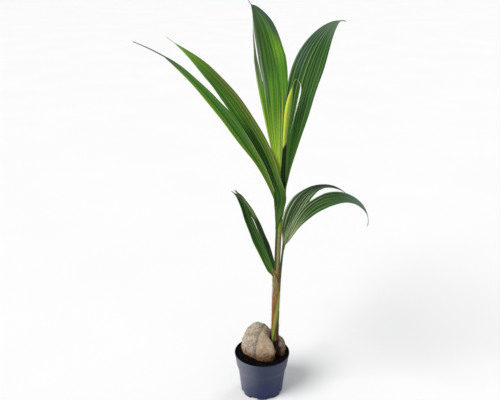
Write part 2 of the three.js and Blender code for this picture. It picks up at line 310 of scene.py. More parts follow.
material, paint = new_finish("satin_pot_plastic")
x, y, z = paint.axes()
cloud = paint.grain(paint.place(), 14, 4)
scuff = paint.grain(paint.spot(x, y, z * 8), 90, 5).between(0.6, 0.78)
from_axis = (x * x + y * y) ** 0.5
inside = (COLLAR_MIDDLE + z * COLLAR_SLOPE - from_axis).between(-0.0002, 0.0002) * z.between(0.106, 0.11)
plastic = paint.coats(
    POT_LIT_GREY,
    # Painted light and shade: greyer to the upper left, blue-grey in the middle, darker navy to the right and
    # foot.
    (POT_BLUE_HALF_SHADE, (x * 9 - z * 1.5 + cloud * 0.3).between(-0.75, 0.05)),
    (POT_SHADED_NAVY, (x * 4 - z * 6 + cloud * 0.5).between(-0.4, 0.4)),
    (POT_DUST, scuff * 0.12),
    # The inside under the rim is painted nearly black.
    (POT_INNER, inside),
)
bumps = paint.grain(paint.place(), 900, 2) + scuff
wire(material, plastic, 0.38 + cloud * 0.16 + scuff * 0.2, bumps, 0.00012, shine=0.28)
hand_over(pot, "pot_plastic", material, "pot")

# %% [markdown]
# ## Shaping with numbers
#
# What grows has no straight edges. It could be sculpted by hand, but here its corners are moved as one
# array, so that a shape can be measured and repeated. Mixes, soft steps and noise shape nearly everything
# on a plant, and they are written once for whole arrays. A sheet starts as a grid.

# %% Helpers for shaping
def mix(first, second, share):
    return first + (second - first) * share


def smooth(value, low, high):
    t = np.clip((value - low) / (high - low), 0, 1)
    return t * t * (3 - 2 * t)


def rumble(places, size, octaves):
    """Lumps of about the given size, from about -1 to 1."""
    return np.array([noise.fractal(Vector(p) / size, 1.0, 2.0, octaves) for p in places])


def layers(places, rules):
    """Lumps of several sizes on one another."""
    return sum(height * rumble(places, size, octaves) for height, size, octaves in rules)


def move_corners(piece, places):
    piece.data.vertices.foreach_set("co", np.asarray(places, np.float32).ravel())
    piece.data.update()


def grid(name, columns, rows):
    add = bpy.ops.mesh.primitive_grid_add
    return primitive(add, name, x_subdivisions=columns, y_subdivisions=rows, size=2)


# %% [markdown]
# ## The soil
#
# Potting soil is a dark bed of crumbs with a few pale bits of bark and fibre. A smooth disc would look
# poured, so a grid is pressed into a disc, heaped a little against the nut and roughened.

# %% Model the soil bed
SOIL_LEVEL = 138
SOIL_RADIUS = 90.2
SOIL_DEPTH = 40
SOIL_CELLS = 130
SOIL_SUNK = 1.5
SOIL_TAPER = 0.86  # the bed narrows towards its underside
SOIL_LUMPS = [(2.4, 16.0, 4), (1.1, 4.0, 2)]  # height and size in millimetres, and octaves of noise
HEAP = {"left": 12.0, "back": 3.0, "wall": 12, "lost": 0.6}  # part of it is lost near the wall


def soil_height(x, y):
    """Millimetres: heaped on the left against the nut, and lower towards the front."""
    heap = HEAP["left"] * smooth(-x, -5, 70) + HEAP["back"] * smooth(y, -10, 70)
    places = np.stack([x, y, np.zeros_like(x)], -1)
    edge = smooth(np.hypot(x, y), SOIL_RADIUS - HEAP["wall"], SOIL_RADIUS)
    return SOIL_LEVEL - SOIL_SUNK + heap * (1 - HEAP["lost"] * edge) + layers(places, SOIL_LUMPS)


soil = grid("soil_bed", SOIL_CELLS, SOIL_CELLS)
u, v = corners_of(soil)[:, 0], corners_of(soil)[:, 1]
disc_x = SOIL_RADIUS * u * np.sqrt(1 - v * v / 2)
disc_y = SOIL_RADIUS * v * np.sqrt(1 - u * u / 2)
move_corners(soil, np.stack([disc_x, disc_y, soil_height(disc_x, disc_y)], -1) * MM)
bpy.ops.object.mode_set(mode="EDIT")
bpy.ops.mesh.select_all(action="SELECT")
bpy.ops.mesh.region_to_loop()
bpy.ops.mesh.extrude_edges_move(TRANSFORM_OT_translate={"value": (0, 0, -SOIL_DEPTH * MM)})
bpy.ops.transform.resize(value=(SOIL_TAPER, SOIL_TAPER, 0))
close_shell()
bpy.ops.object.shade_smooth()
print("soil rises to", round(corners_of(soil)[:, 2].max() / MM), "mm")

# %% [markdown]
# Soil has thousands of crumbs, and a husk hundreds of fibres. Each could be an object of its own, but so
# many objects are slow to handle. So one helper writes all copies of a small shape into one mesh, and
# another stores numbers on the corners, for a finish to read.

# %% Join many copies
def joined(name, places, faces):
    """One object from many copies of a small shape: places are (copies, corners, 3)."""
    copies, corners, _ = places.shape
    sides = faces.shape[1]
    mesh = bpy.data.meshes.new(name)
    mesh.vertices.add(copies * corners)
    mesh.vertices.foreach_set("co", places.astype(np.float32).ravel())
    index = (faces[None] + corners * np.arange(copies)[:, None, None]).reshape(-1)
    mesh.loops.add(len(index))
    mesh.loops.foreach_set("vertex_index", index.astype(np.int32))
    mesh.polygons.add(copies * len(faces))
    mesh.polygons.foreach_set("loop_start", np.arange(0, len(index), sides, dtype=np.int32))
    mesh.update(calc_edges=True)
    mesh.validate()
    piece = bpy.data.objects.new(name, mesh)
    bpy.context.scene.collection.objects.link(piece)
    pick(piece)
    bpy.ops.object.shade_smooth()
    return piece


def mark(piece, **marks):
    """Stores numbers on the corners, for a finish to read."""
    for name, values in marks.items():
        attribute = piece.data.attributes.new(name, "FLOAT", "POINT")
        attribute.data.foreach_set("value", np.asarray(values, np.float32))


# %% [markdown]
# The crumbs lie on the bed. A particle system could scatter them, but its copies would have to be made
# real. Here one small ball is repeated, and every copy is stretched and dented by seeded random numbers, so
# that each run gives the same soil.

# %% Scatter the crumbs
CRUMBS = 3200
CRUMB_SIZE = (0.8, 3.6)
CRUMB_RARE = 2.6  # a power that makes the large ones rare
CRUMB_DENTS = (0.55, 1.25)
CRUMB_STRETCH = (0.6, 1.2)
SEED = 7

ball = primitive(bpy.ops.mesh.primitive_ico_sphere_add, "crumb_pattern", subdivisions=1, radius=1)
crumb_corners = corners_of(ball)
crumb_faces = np.array([list(face.vertices) for face in ball.data.polygons])
bpy.data.objects.remove(ball)

draw = np.random.default_rng(SEED)
radius = (SOIL_RADIUS - 2) * np.sqrt(draw.random(CRUMBS))
angle = math.tau * draw.random(CRUMBS)
crumb_x, crumb_y = radius * np.cos(angle), radius * np.sin(angle)
size = mix(*CRUMB_SIZE, draw.random(CRUMBS) ** CRUMB_RARE)
lift = soil_height(crumb_x, crumb_y) + 0.35 * size
jitter = draw.uniform(*CRUMB_DENTS, (CRUMBS, len(crumb_corners), 1))
stretch = draw.uniform(*CRUMB_STRETCH, (CRUMBS, 1, 3))
centres = np.stack([crumb_x, crumb_y, lift], -1)[:, None]
shapes = crumb_corners * jitter * stretch * size[:, None, None]
crumbs = joined("soil_crumbs", (shapes + centres) * MM, crumb_faces)
mark(crumbs, shade=np.repeat(draw.random(CRUMBS), len(crumb_corners)))
print(CRUMBS, "crumbs")

# %% [markdown]
# Moist soil is nearly black, with a few brown bits of bark. Crumbs could have a material each. It is
# shorter to store one number on every crumb and to let one finish read its tone from it. Noise mottles the
# bed.

# %% Paint the soil
SOIL_BLACK = srgb(5, 5, 5)
SOIL_BROWN = srgb(24, 17, 14)
BARK_BIT = srgb(64, 48, 38)

material, paint = new_finish("moist_soil")
cloud = paint.grain(paint.place(), 60, 5)
tone = paint.coats(SOIL_BLACK, (SOIL_BROWN, cloud.between(0.5, 0.85)))
wire(material, tone, 0.85 + cloud * 0.15, paint.grain(paint.place(), 700, 4), 0.0008, shine=0.12)
hand_over(soil, "soil", material, "soil")

material, paint = new_finish("soil_crumb")
shade = paint.attribute("shade")
speck = paint.grain(paint.place(), 1200, 2)
tone = paint.coats(
    SOIL_BLACK,
    (SOIL_BROWN, shade.between(0.35, 0.9)),
    (BARK_BIT, shade.between(0.95, 0.975) * speck.between(0.3, 0.6)),
)
wire(material, tone, 0.85 + speck * 0.15, speck, 0.0004, shine=0.12)
hand_over(crumbs, "soil", material)

# %% [markdown]
# ## The nut
#
# A coconut keeps its thick fibrous husk while it sprouts. Three blunt lobes meet at the top, parted by
# grooves, of which the one at the back is nearly worn away. The nut could be sculpted by hand. Here a fine
# ball is moved corner by corner, by the rule that made the solid, so that it stays in the solid's place.

# %% Shape the nut
NUT_CENTRE = np.array([5.0, 15.0, 153.0])
NUT_HALF = np.array([77.0, 60.0, 109.0])
NUT_APEX = (0.05, -0.2)
NUT_GROOVES = [-124, -50, 100]  # directions from the apex, with the front lobe between the first two
GROOVE = {"depth": 0.13, "sharpness": 0.7, "fade": 0.45}
WORN = {"share": 0.75, "spread": 45}
CREASE = {"depth": 0.02, "width": 0.14}
DROP = {"share": 0.7, "from": -0.4}  # the top sinks towards the right


def bell(value, middle, spread):
    return np.exp(-(((value - middle) / spread) ** 2))


def column(values):
    return np.asarray(values)[:, None]


def lobe_share(angle):
    """0 in a groove and 1 in the middle of a lobe."""
    ends = [*NUT_GROOVES, NUT_GROOVES[0] + 360]
    return np.sin(np.pi * (np.interp(angle, ends, range(len(ends))) % 1))


nut = primitive(bpy.ops.mesh.primitive_ico_sphere_add, "coconut", subdivisions=7, radius=1)
unit = corners_of(nut)
aside = unit[:, :2] - NUT_APEX
away = np.hypot(*aside.T)
turn = NUT_GROOVES[0] + (np.degrees(np.arctan2(aside[:, 1], aside[:, 0])) - NUT_GROOVES[0]) % 360
lobe = lobe_share(turn)
groove = GROOVE["depth"] * (1 - lobe ** GROOVE["sharpness"]) * smooth(away, 0, GROOVE["fade"])
groove *= 1 - WORN["share"] * bell(turn, NUT_GROOVES[2], WORN["spread"])
crease = bell(lobe, 0, CREASE["width"]) * smooth(away, 0.02, 0.3)
sink = 1 - DROP["share"] * smooth(unit[:, 0], DROP["from"], 1) * np.maximum(unit[:, 2], 0)
body = unit * NUT_HALF
body[:, 2] *= sink
outward = unit / NUT_HALF
outward /= column(np.linalg.norm(outward, axis=1))
print("nut", len(unit), "corners")

# %% [markdown]
# The left lobe is bleached and flaking, the front one is smooth, and the right one is rough. Lumps and
# dents are noise of several sizes. A wrinkle is where a slanting noise crosses zero, which gives long
# cracks between flakes. Each is felt more on some lobes than on others, so the lobes differ as they do on
# the real nut.

# %% Weather the nut
FRONT_LOBE = (-142, -100, -58, -44)  # degrees at which it begins, is all there, starts to end and ends
CLEFT_EDGES = (-52, -40, -33, -7)  # the same for the place where the lobes part in front of the shoot
CLEFT_DEPTH = 17
BULGE = {"height": 6, "middle": -62, "spread": 14}
NUT_LUMPS = [(3.2, 30.0, 3), (1.2, 9.0, 2)]
FLAKE = {"slant": 0.6, "squeeze": 0.35, "bend": 5, "size": 6.5, "crack": 0.2}
HAIR = (0.25, 0.45)  # millimetres on the smooth lobe and on the flaky ones
WRINKLE = (0.2, 1.1)


def span(value, begins, whole, fades, ends):
    return smooth(value, begins, whole) * (1 - smooth(value, fades, ends))


uneven = turn + 10 * rumble(body, 24.0, 3)
flaky = np.clip(1 - span(uneven, *FRONT_LOBE) + 0.8 * smooth(unit[:, 2], 0.75, 0.95), 0, 1)
right, back, up = body.T
lengthwise = FLAKE["squeeze"] * (up + FLAKE["slant"] * right)
slanted = np.column_stack([right - FLAKE["slant"] * up, back, lengthwise])
bent = slanted + FLAKE["bend"] * column(rumble(body, 16.0, 2))
flake = smooth(np.abs(rumble(bent, FLAKE["size"], 3)), 0.0, FLAKE["crack"])
hair = rumble(body * np.array([1, 1, 0.12]), 1.7, 2)
cleft = span(uneven, *CLEFT_EDGES) * smooth(away, 0.2, 0.5)
bulge = BULGE["height"] * bell(turn, BULGE["middle"], BULGE["spread"])
bulge = bulge * smooth(away, 0.3, 0.6) * smooth(unit[:, 2], -0.1, 0.15)
relief = layers(body, NUT_LUMPS) + hair * mix(*HAIR, flaky) - (1 - flake) * mix(*WRINKLE, flaky)
relief += bulge - CLEFT_DEPTH * cleft
nut_places = body * column(1 - groove - CREASE["depth"] * crease) + outward * column(relief) + NUT_CENTRE
print(f"relief from {relief.min():.1f} to {relief.max():.1f} mm")

# %% [markdown]
# The shoot has burst the husk open on the right and left a hollow with a frayed wall. A Boolean would cut
# it sharp, so the corners near the stem's axis are pushed away from it instead, some further than others.
# That needs the axis, a curve from the soil to the crown that the stem will follow later.

# %% Open the cleft for the shoot
STEM_FOOT = SOIL_LEVEL + 0.3
STEM_TOP = 736
STEM_KNOTS = np.array([(44.5, 4), (42.5, -1), (49.5, -6), (54, -11)], float)
CLEFT_RADIUS = 15.0
CLEFT_FRAY = 2.6
CLEFT_SAG = 5


def stem_axis(height):
    """Where the middle of the stem is at a height: a cubic curve whose height runs evenly."""
    t = np.clip((height - STEM_FOOT) / (STEM_TOP - STEM_FOOT), 0, 1)
    weights = np.stack([(1 - t) ** 3, 3 * t * (1 - t) ** 2, 3 * t * t * (1 - t), t**3], -1)
    return weights @ STEM_KNOTS


from_stem = nut_places[:, :2] - stem_axis(nut_places[:, 2])
distance = np.hypot(*from_stem.T)
push = np.where(nut_places[:, 2] > SOIL_LEVEL, np.maximum(CLEFT_RADIUS - distance, 0), 0)
sideways = from_stem / column(np.maximum(distance, 0.1))
frayed = rumble(np.column_stack([sideways * 9, nut_places[:, 2] * 0.12]), 2.0, 3) * smooth(push, 0, 4)
nut_places[:, :2] += sideways * column(push + CLEFT_FRAY * frayed)
nut_places[:, 2] -= CLEFT_SAG * (1 + frayed) * smooth(push, 0, 8)
move_corners(nut, nut_places * MM)
# Painted shade: a ring round the stem joins the cleft's share, so the finish paints it dark.
shadow = np.exp(-np.maximum(distance - CLEFT_RADIUS + 3, 0) / 5)
mark(nut, flaky=flaky, crack=1 - flake, groove=crease, cleft=np.clip(cleft + shadow, 0, 1))
bpy.ops.object.shade_smooth()
print(np.count_nonzero(push), "corners pushed out of the shoot's way")

# %% [markdown]
# The smooth lobe is beige with cream and brown blotches, and the rough ones are bleached to cream and grey,
# with more cream painted towards the lit left as painted light. All turn brown near the soil. Cracks and
# grooves are painted dark as shade, and the cleft and a ring round the stem are painted darkest as shade,
# with brown fibres in its wall. The numbers stored on the corners say where each belongs, so the colours
# follow the shape.

# %% Paint the nut
HUSK_BEIGE = srgb(184, 162, 134)
HUSK_CREAM = srgb(190, 178, 158)
HUSK_GREY = srgb(140, 128, 114)
HUSK_BROWN = srgb(120, 76, 42)
HUSK_CREASE_SHADE = srgb(48, 39, 32)
HUSK_HOLLOW_SHADE = srgb(20, 13, 10)

material, paint = new_finish("weathered_husk")
x, y, z = paint.axes()
bleached, crack, in_groove_shade, in_cleft_shade = (paint.attribute(key) for key in ("flaky", "crack", "groove", "cleft"))
mottle = paint.grain(paint.place(), 45, 5, 0.65)
fine = paint.grain(paint.spot(x, y, z * 0.15), 420, 3)
blotch = paint.grain(paint.place(), 110, 4, 0.6)
smooth_side = paint.coats(
    HUSK_BEIGE,
    (HUSK_GREY, mottle.between(0.42, 0.72) * 0.7),
    (HUSK_CREAM, blotch.between(0.5, 0.7) * 0.7),
    (HUSK_BROWN, (1 - blotch.between(0.32, 0.46)) * 0.45),
)
# Partly painted light: the bleached cream grows towards the lit left side.
rough_side = paint.coats(HUSK_GREY, (HUSK_CREAM, (mottle - x * 2.2).between(0.36, 0.66)))
hollow_shade_and_fibre = paint.coats(HUSK_HOLLOW_SHADE, (HUSK_BROWN, fine.between(0.48, 0.72) * 0.5))
skin = paint.coats(
    smooth_side,
    (rough_side, bleached),
    (HUSK_BROWN, (1 - (z + mottle * 0.06).between(0.168, 0.214)) * 0.9),
    (HUSK_BROWN, fine.between(0.52, 0.75) * 0.3),
    # Painted shade: dark in the cracks, most on the bleached lobes and towards the top, and along the
    # grooves.
    (HUSK_CREASE_SHADE, crack * (0.25 + bleached * 0.65) * (mottle + z * 1.2).between(0.4, 0.85)),
    (HUSK_CREASE_SHADE, in_groove_shade.between(0.2, 1.0) * mottle.between(0.45, 0.6) * 0.5),
    # Painted shade: the cleft and the ring round the stem are nearly black, with brown fibres.
    (hollow_shade_and_fibre, (in_cleft_shade + mottle * 0.5 - 0.25).between(0.1, 0.9) * 0.95),
)
wire(material, skin, 0.75 + mottle * 0.2, fine + crack * -0.6 + mottle * 0.5, 0.0009, shine=0.15)
hand_over(nut, "husk", material, "coconut_husk")

# %% [markdown]
# A loose fibre is a thin bent strip that narrows to its end. A hair system could grow fibres, but hair
# isn't a mesh. Here each has three sides and a few faces, all are one mesh, and the finish reads the tone
# of each from a number that it carries.

# %% Strips for loose fibres
FIBRE_STEPS = 5
FIBRE_SIDES = (0, 2.09, 4.19)  # angles round a fibre


def strips(name, starts, directions, lengths, widths, bend):
    """Thin three-sided hairs: each starts at a place, follows a direction and bends at random."""
    count = len(starts)
    t = np.linspace(0, 1, FIBRE_STEPS)[None, :, None]
    drift = draw.normal(0, bend, (count, 1, 3))
    path = starts[:, None] + (directions[:, None] * t + drift * t * t) * lengths[:, None, None]
    along = np.diff(path, axis=1, append=path[:, -1:] + (path[:, -1:] - path[:, -2:-1]))
    first = np.cross(along, draw.normal(0, 1, (count, 1, 3)))
    first /= np.linalg.norm(first, axis=2, keepdims=True) + 1e-9
    second = np.cross(along, first)
    second /= np.linalg.norm(second, axis=2, keepdims=True) + 1e-9
    taper = widths[:, None, None] * mix(1, 0.25, t) / 2
    rings = [path + taper * (math.cos(a) * first + math.sin(a) * second) for a in FIBRE_SIDES]
    places = np.stack(rings, 2).reshape(count, -1, 3)
    faces = []
    for i in range(FIBRE_STEPS - 1):
        for k in range(3):
            a, b = 3 * i + k, 3 * i + (k + 1) % 3
            faces += [(a, b, b + 3), (a, b + 3, a + 3)]
    last = 3 * (FIBRE_STEPS - 1)
    faces += [(2, 1, 0), (last, last + 1, last + 2)]
    return joined(name, places * MM, np.array(faces))


def fibre_finish(name, dark, pale):
    material, paint = new_finish(name)
    tone = paint.grain(paint.place(), 300, 2)
    wire(material, paint.coats(dark, (pale, paint.attribute("shade"))), 0.7 + tone * 0.2, tone, 0.0001)
    return material


# %% [markdown]
# Where the husk meets the soil and the shoot, its coarse fibres come loose. They could be scattered over
# the whole nut, but only torn places fray. So they root in the nut's own corners near the soil and round
# the cleft.

# %% Fray the husk
FIBRES = 300
FIBRE_LENGTHS = (5, 17)
FIBRE_WIDTHS = (0.25, 0.6)
SOIL_FRINGE = (137, 151)  # heights
CLEFT_FRINGE = (13, 19)  # distances from the stem's axis


def inside(values, low, high):
    return (values > low) & (values < high)


near_soil = np.flatnonzero(inside(nut_places[:, 2], *SOIL_FRINGE) & (turn < 60))
near_cleft = np.flatnonzero(inside(distance, *CLEFT_FRINGE) & (nut_places[:, 2] > 150))
rooted = np.concatenate([draw.choice(near_soil, FIBRES * 3 // 4), draw.choice(near_cleft, FIBRES // 4)])
fibre_ways = outward[rooted] * 0.35 + draw.normal(0, 0.45, (len(rooted), 3)) + np.array([0, 0, -0.25])
fringe = strips(
    "husk_fibres",
    nut_places[rooted] - outward[rooted] * 0.8,
    fibre_ways,
    draw.uniform(*FIBRE_LENGTHS, len(rooted)),
    draw.uniform(*FIBRE_WIDTHS, len(rooted)),
    0.35,
)
mark(fringe, shade=np.repeat(draw.random(len(rooted)), 3 * FIBRE_STEPS))
hand_over(fringe, "husk", fibre_finish("loose_fibre", srgb(74, 44, 26), srgb(168, 132, 92)))

# %% [markdown]
# ## The stem
#
# The stem of a seedling palm is no trunk yet, only leaf bases wrapped in one another. A curve with a bevel
# could give its innermost one. Here a grid is rolled round an axis, merged at its seam and filled at its
# ends, because that allows fine ribs along it and serves the stalk and the spear as well.

# %% Roll a tube
SEAM = 1e-5


def grid_shares(piece):
    """How far each corner of a grid is across it, from -1 to 1, and along it, from 0 to 1."""
    flat = corners_of(piece)
    return flat[:, 0], (flat[:, 1] + 1) / 2


def tube(name, shape, around, along):
    piece = grid(name, around, along)
    side, s = grid_shares(piece)
    angle = math.pi * side
    move_corners(piece, shape(angle, s) * MM)
    mark(piece, around=angle, along=s)
    bpy.ops.object.mode_set(mode="EDIT")
    bpy.ops.mesh.select_all(action="SELECT")
    bpy.ops.mesh.remove_doubles(threshold=SEAM)
    bpy.ops.mesh.fill_holes(sides=0)
    bpy.ops.mesh.normals_make_consistent(inside=False)
    bpy.ops.object.mode_set(mode="OBJECT")
    bpy.ops.object.shade_smooth()
    return piece


# %% [markdown]
# The innermost leaf base is green, slim half way up, and opens like a funnel where the leaves leave it. A
# cone could stand for it, but the funnel shows between the leaves' feet, so its radius follows a few
# heights, with soft steps between them.

# %% Model the green core
STEM_HEIGHTS = [STEM_FOOT, 388, 618, STEM_TOP]
STEM_RADII = [7.2, 6.6, 7.4, 18]


def stem_radius(height):
    radius = np.full_like(height, STEM_RADII[0])
    for low, high, start, end in zip(STEM_HEIGHTS, STEM_HEIGHTS[1:], STEM_RADII, STEM_RADII[1:]):
        radius = np.where(height > low, mix(start, end, smooth(height, low, high)), radius)
    return radius


def round_axis(axis, height, angle, radius):
    reach = np.stack([np.cos(angle) * radius, np.sin(angle) * radius], -1)
    return np.column_stack([axis + reach, height])


def round_stem(height, angle, radius):
    return round_axis(stem_axis(height), height, angle, radius)


def core_shape(angle, s):
    """Fine ribs, and a few broad ones that wind slowly round the stem."""
    height = mix(STEM_FOOT, STEM_TOP, s)
    ribs = 0.25 * np.sin(23 * angle) + 0.35 * np.sin(5 * angle + 0.01 * height)
    closing = mix(1, 0.2, smooth(height, STEM_TOP - 50, STEM_TOP))
    return round_stem(height, angle, (stem_radius(height) + ribs) * closing)


core = tube("stem_core_leaf_bases", core_shape, around=72, along=160)
print("stem core", len(core.data.polygons), "faces")

# %% [markdown]
# A leaf base is smooth and green, with darker and lighter threads along it. They could come from a picture,
# but noise that is stretched along the height draws such threads at any size.

# %% Paint the green core
STEM_DEEP = srgb(34, 58, 22)
STEM_GREEN = srgb(62, 92, 34)
STEM_LIME = srgb(112, 130, 50)

green_base, paint = new_finish("green_leaf_base")
x, y, z = paint.axes()
thread = paint.grain(paint.spot(x, y, z * 0.06), 420, 3)
broad = paint.grain(paint.spot(x, y, z * 0.2), 70, 3)
green = paint.coats(
    STEM_DEEP,
    (STEM_GREEN, broad.between(0.35, 0.65)),
    (STEM_LIME, thread.between(0.55, 0.8) * 0.5),
)
wire(green_base, green, 0.4 + broad * 0.15, thread, 0.0004, shine=0.3)
hand_over(core, "green_stem", green_base, "stem_core")

# %% [markdown]
# ## The sheaths
#
# Old leaf bases stay round the stem as sheaths: a dry olive one, a brown fibrous one with a torn top, and a
# short scale leaf that is still green. Each is a grid bent round the stem. It narrows towards a point, the
# scale leaf towards its foot too, and noise frays the dry ones. Solidify then gives it the thickness of a
# real sheath. A tube cut in half would be quicker, but its edges would be straight.

# %% Shape a sheath
SHEATH_GAP = 0.3
POINT_SHARE = 0.06


def cloth_noise(side, s, size, octaves):
    return rumble(np.column_stack([side, s, s * 0]), size, octaves)


def sheath_places(rule, side, s):
    height = mix(rule["foot"], rule["top"], s)
    height = height + rule["fray"] * cloth_noise(side * 4, s * 3, 0.35, 3) * smooth(s, 0.8, 1)
    half_turn = np.radians(rule["turn"] / 2) * np.maximum(1 - s ** rule["point"], POINT_SHARE)
    half_turn = half_turn * mix(rule["start"], 1, smooth(s, 0, 0.7))
    ragged = 0.05 * rule["fray"] * cloth_noise(side, s * 14, 0.5, 3) * np.abs(side) ** 6
    angle = np.radians(rule["middle"] + rule["drift"] * s) + side * half_turn + ragged * 0.3
    folds = 0.28 * np.sin(side * rule["turn"] * 0.35) + 0.3 * cloth_noise(side * 3, s * 9, 0.6, 2)
    radius = stem_radius(height) + SHEATH_GAP + rule["over"] + rule["thick"] / 2 + folds
    return round_stem(height, angle, radius)


def thicken(sheet, places, thickness):
    move_corners(sheet, places * MM)
    modify(sheet, "SOLIDIFY", thickness=thickness * MM, offset=0)
    bpy.ops.object.shade_smooth()


# %% [markdown]
# The three lie on one another, each a little further from the stem. They could be copies of one piece, but
# they differ in length, turn and fray. So a loop grows each from its own sizes: the heights of its foot and
# top, how far it stands off, its thickness, and the angles that it wraps and faces.

# %% Wrap the sheaths
SHEATHS = {
    "olive_sheath": dict(
        foot=140, top=660, over=0.7, thick=1.3, turn=230, middle=-78, drift=25, point=8, fray=4.0, start=1
    ),
    "fibre_sheath": dict(
        foot=140, top=456, over=3.5, thick=1.7, turn=335, middle=-120, drift=-20, point=6, fray=9.0, start=1
    ),
    "scale_leaf": dict(
        foot=176, top=440, over=6.2, thick=1.2, turn=84, middle=-137, drift=130, point=2, fray=0.0, start=0.5
    ),
}

sheaths = {}
for name, rule in SHEATHS.items():
    wrap = grid(name + "_wrap", columns=64, rows=150)
    side, s = grid_shares(wrap)
    mark(wrap, across=side, along=s)
    thicken(wrap, sheath_places(rule, side, s), rule["thick"])
    sheaths[name] = wrap
print("sheaths:", ", ".join(sheaths))

# %% [markdown]
# The olive sheath dries from its foot up, so it goes from olive to tan, then to lime where it is younger
# and back to the stem's green at its tip. The steps could be painted by hand. Here the height sets them,
# because the sheath is upright, and noise makes them ragged.

# %% Paint the olive sheath
SHEATH_OLIVE = srgb(124, 110, 62)
SHEATH_TAN = srgb(160, 132, 92)
SHEATH_LIME = srgb(150, 166, 56)

material, paint = new_finish("olive_sheath_skin")
x, y, z = paint.axes()
thread = paint.grain(paint.spot(x, y, z * 0.05), 380, 3)
broad = paint.grain(paint.spot(x, y, z * 0.3), 60, 3)
skin = paint.coats(
    SHEATH_OLIVE,
    (SHEATH_TAN, (z + broad * 0.08).between(0.44, 0.56)),
    (SHEATH_LIME, (z + broad * 0.03).between(0.6, 0.63)),
    (STEM_GREEN, (z + broad * 0.02).between(0.64, 0.662) * 0.8),
    (STEM_DEEP, thread.between(0.58, 0.75) * 0.45),
)
wire(material, skin, 0.6 + broad * 0.2, thread, 0.0005, shine=0.25)
hand_over(sheaths["olive_sheath"], "olive_sheath", material, "olive_sheath")

# %% [markdown]
# The brown sheath is a natural cloth: a warp along the stem and a weft across it. Two noises, each squeezed
# one way, give both, and they follow the sheath round the stem because they read its own stored shares. The
# torn top and a strip below it are pale, the weft shows most on the left, and the lower right side lies in
# shade.

# %% Paint the brown fibre
FIBRE_TAN = srgb(140, 126, 74)
FIBRE_BROWN = srgb(146, 98, 50)
FIBRE_RED = srgb(92, 48, 30)
FIBRE_LIGHT = srgb(214, 196, 150)
FIBRE_SHADE = srgb(62, 38, 24)

material, paint = new_finish("brown_fibre_cloth")
x, y, z = paint.axes()
across, along = paint.attribute("across"), paint.attribute("along")
warp = paint.grain(paint.spot(across * 26, along * 5), 1, 3)
weft = paint.grain(paint.spot(across * 6, along * 90), 1, 3)
cloud = paint.grain(paint.place(), 32, 4)
edge = across.between(-0.5, -0.4) * (1 - across.between(-0.28, -0.2)) * along.between(0.62, 0.8)
skin = paint.coats(
    FIBRE_BROWN,
    (FIBRE_TAN, (z + cloud * 0.12).between(0.41, 0.48)),
    (FIBRE_RED, warp.between(0.5, 0.72) * 0.75),
    (FIBRE_LIGHT, weft.between(0.5, 0.66) * (z + cloud * 0.08 - x * 2).between(0.27, 0.33) * 0.7),
    (FIBRE_LIGHT, along.between(0.93, 0.99) * 0.7),
    (FIBRE_LIGHT, edge * (weft.between(0.3, 0.5) * 0.5 + 0.4)),
    (FIBRE_SHADE, x.between(0.046, 0.05) * (1 - z.between(0.29, 0.33)) * 0.85),
)
wire(material, skin, 0.8 + warp * 0.15, warp + weft, 0.0007, shine=0.15)
hand_over(sheaths["fibre_sheath"], "brown_fibre", material, "fibre_sheath")

# %% [markdown]
# The scale leaf is light green, darker on the right of its lower part and along its veins. The dark side
# could be left to a shadow, but the pale surroundings would fill it, so the shares across and along the
# leaf place the darker green.

# %% Paint the scale leaf
SCALE_LIGHT = srgb(140, 148, 58)
SCALE_DARK = srgb(66, 92, 34)

material, paint = new_finish("scale_leaf_skin")
across, along = paint.attribute("across"), paint.attribute("along")
vein = paint.grain(paint.spot(across * 30, along * 2), 1, 2)
skin = paint.coats(
    SCALE_LIGHT,
    (SCALE_DARK, across.between(0.05, 0.35) * (1 - along.between(0.25, 0.6))),
    (SCALE_DARK, vein.between(0.52, 0.75) * 0.5),
)
wire(material, skin, 0.45 + vein * 0.12, vein, 0.0004, shine=0.3)
hand_over(sheaths["scale_leaf"], "young_leaf", material, "scale_leaf")

# %% [markdown]
# Some fibres of the brown cloth spring loose. They lie nearly along the stem, slanting to one side or the
# other, and stand out of the torn top. They could be drawn in the finish only, but then the outline would
# stay smooth. The strips of the husk serve again, and they start on the sheath's own places, so that none
# hangs in the air.

# %% Loosen the sheath's fibres
STRANDS = 620
STRAND_SLANT = 0.22
STRAND_LENGTHS = (14, 46)
STRAND_WIDTHS = (0.3, 0.8)
UP = np.array([0.0, 0.0, 1.0])

strand_s = draw.random(STRANDS) ** 0.75
strand_side = draw.uniform(-0.97, 0.97, STRANDS)
starts = sheath_places(SHEATHS["fibre_sheath"], strand_side, strand_s)
middle = np.column_stack([stem_axis(starts[:, 2]), starts[:, 2]])
out = (starts - middle) / column(np.linalg.norm(starts - middle, axis=1))
slant = np.cross(UP, out) * column(draw.choice([-STRAND_SLANT, STRAND_SLANT], STRANDS))
torn = column(smooth(strand_s, 0.9, 1))
strands = strips(
    "sheath_fibres",
    starts + out * 0.75,
    UP + slant + out * mix(0.01, 0.12, torn) + draw.normal(0, 0.03, (STRANDS, 3)),
    draw.uniform(*STRAND_LENGTHS, STRANDS) * mix(1, 0.5, torn[:, 0]),
    draw.uniform(*STRAND_WIDTHS, STRANDS),
    0.025,
)
mark(strands, shade=np.repeat(draw.random(STRANDS), 3 * FIBRE_STEPS))
hand_over(strands, "brown_fibre", fibre_finish("sheath_strand", srgb(92, 54, 34), srgb(186, 148, 96)))

# %% [markdown]
# ## Ribs
#
# Every leaf of this palm follows one rule. Its rib leaves the stem at a heading and a steep slope, and both
# swing over towards the tip by a power, so that some ribs bend early and others late. The same rule made
# the solids, and it is repeated here with more steps.

# %% The growing rule
RIB_STEPS = 240


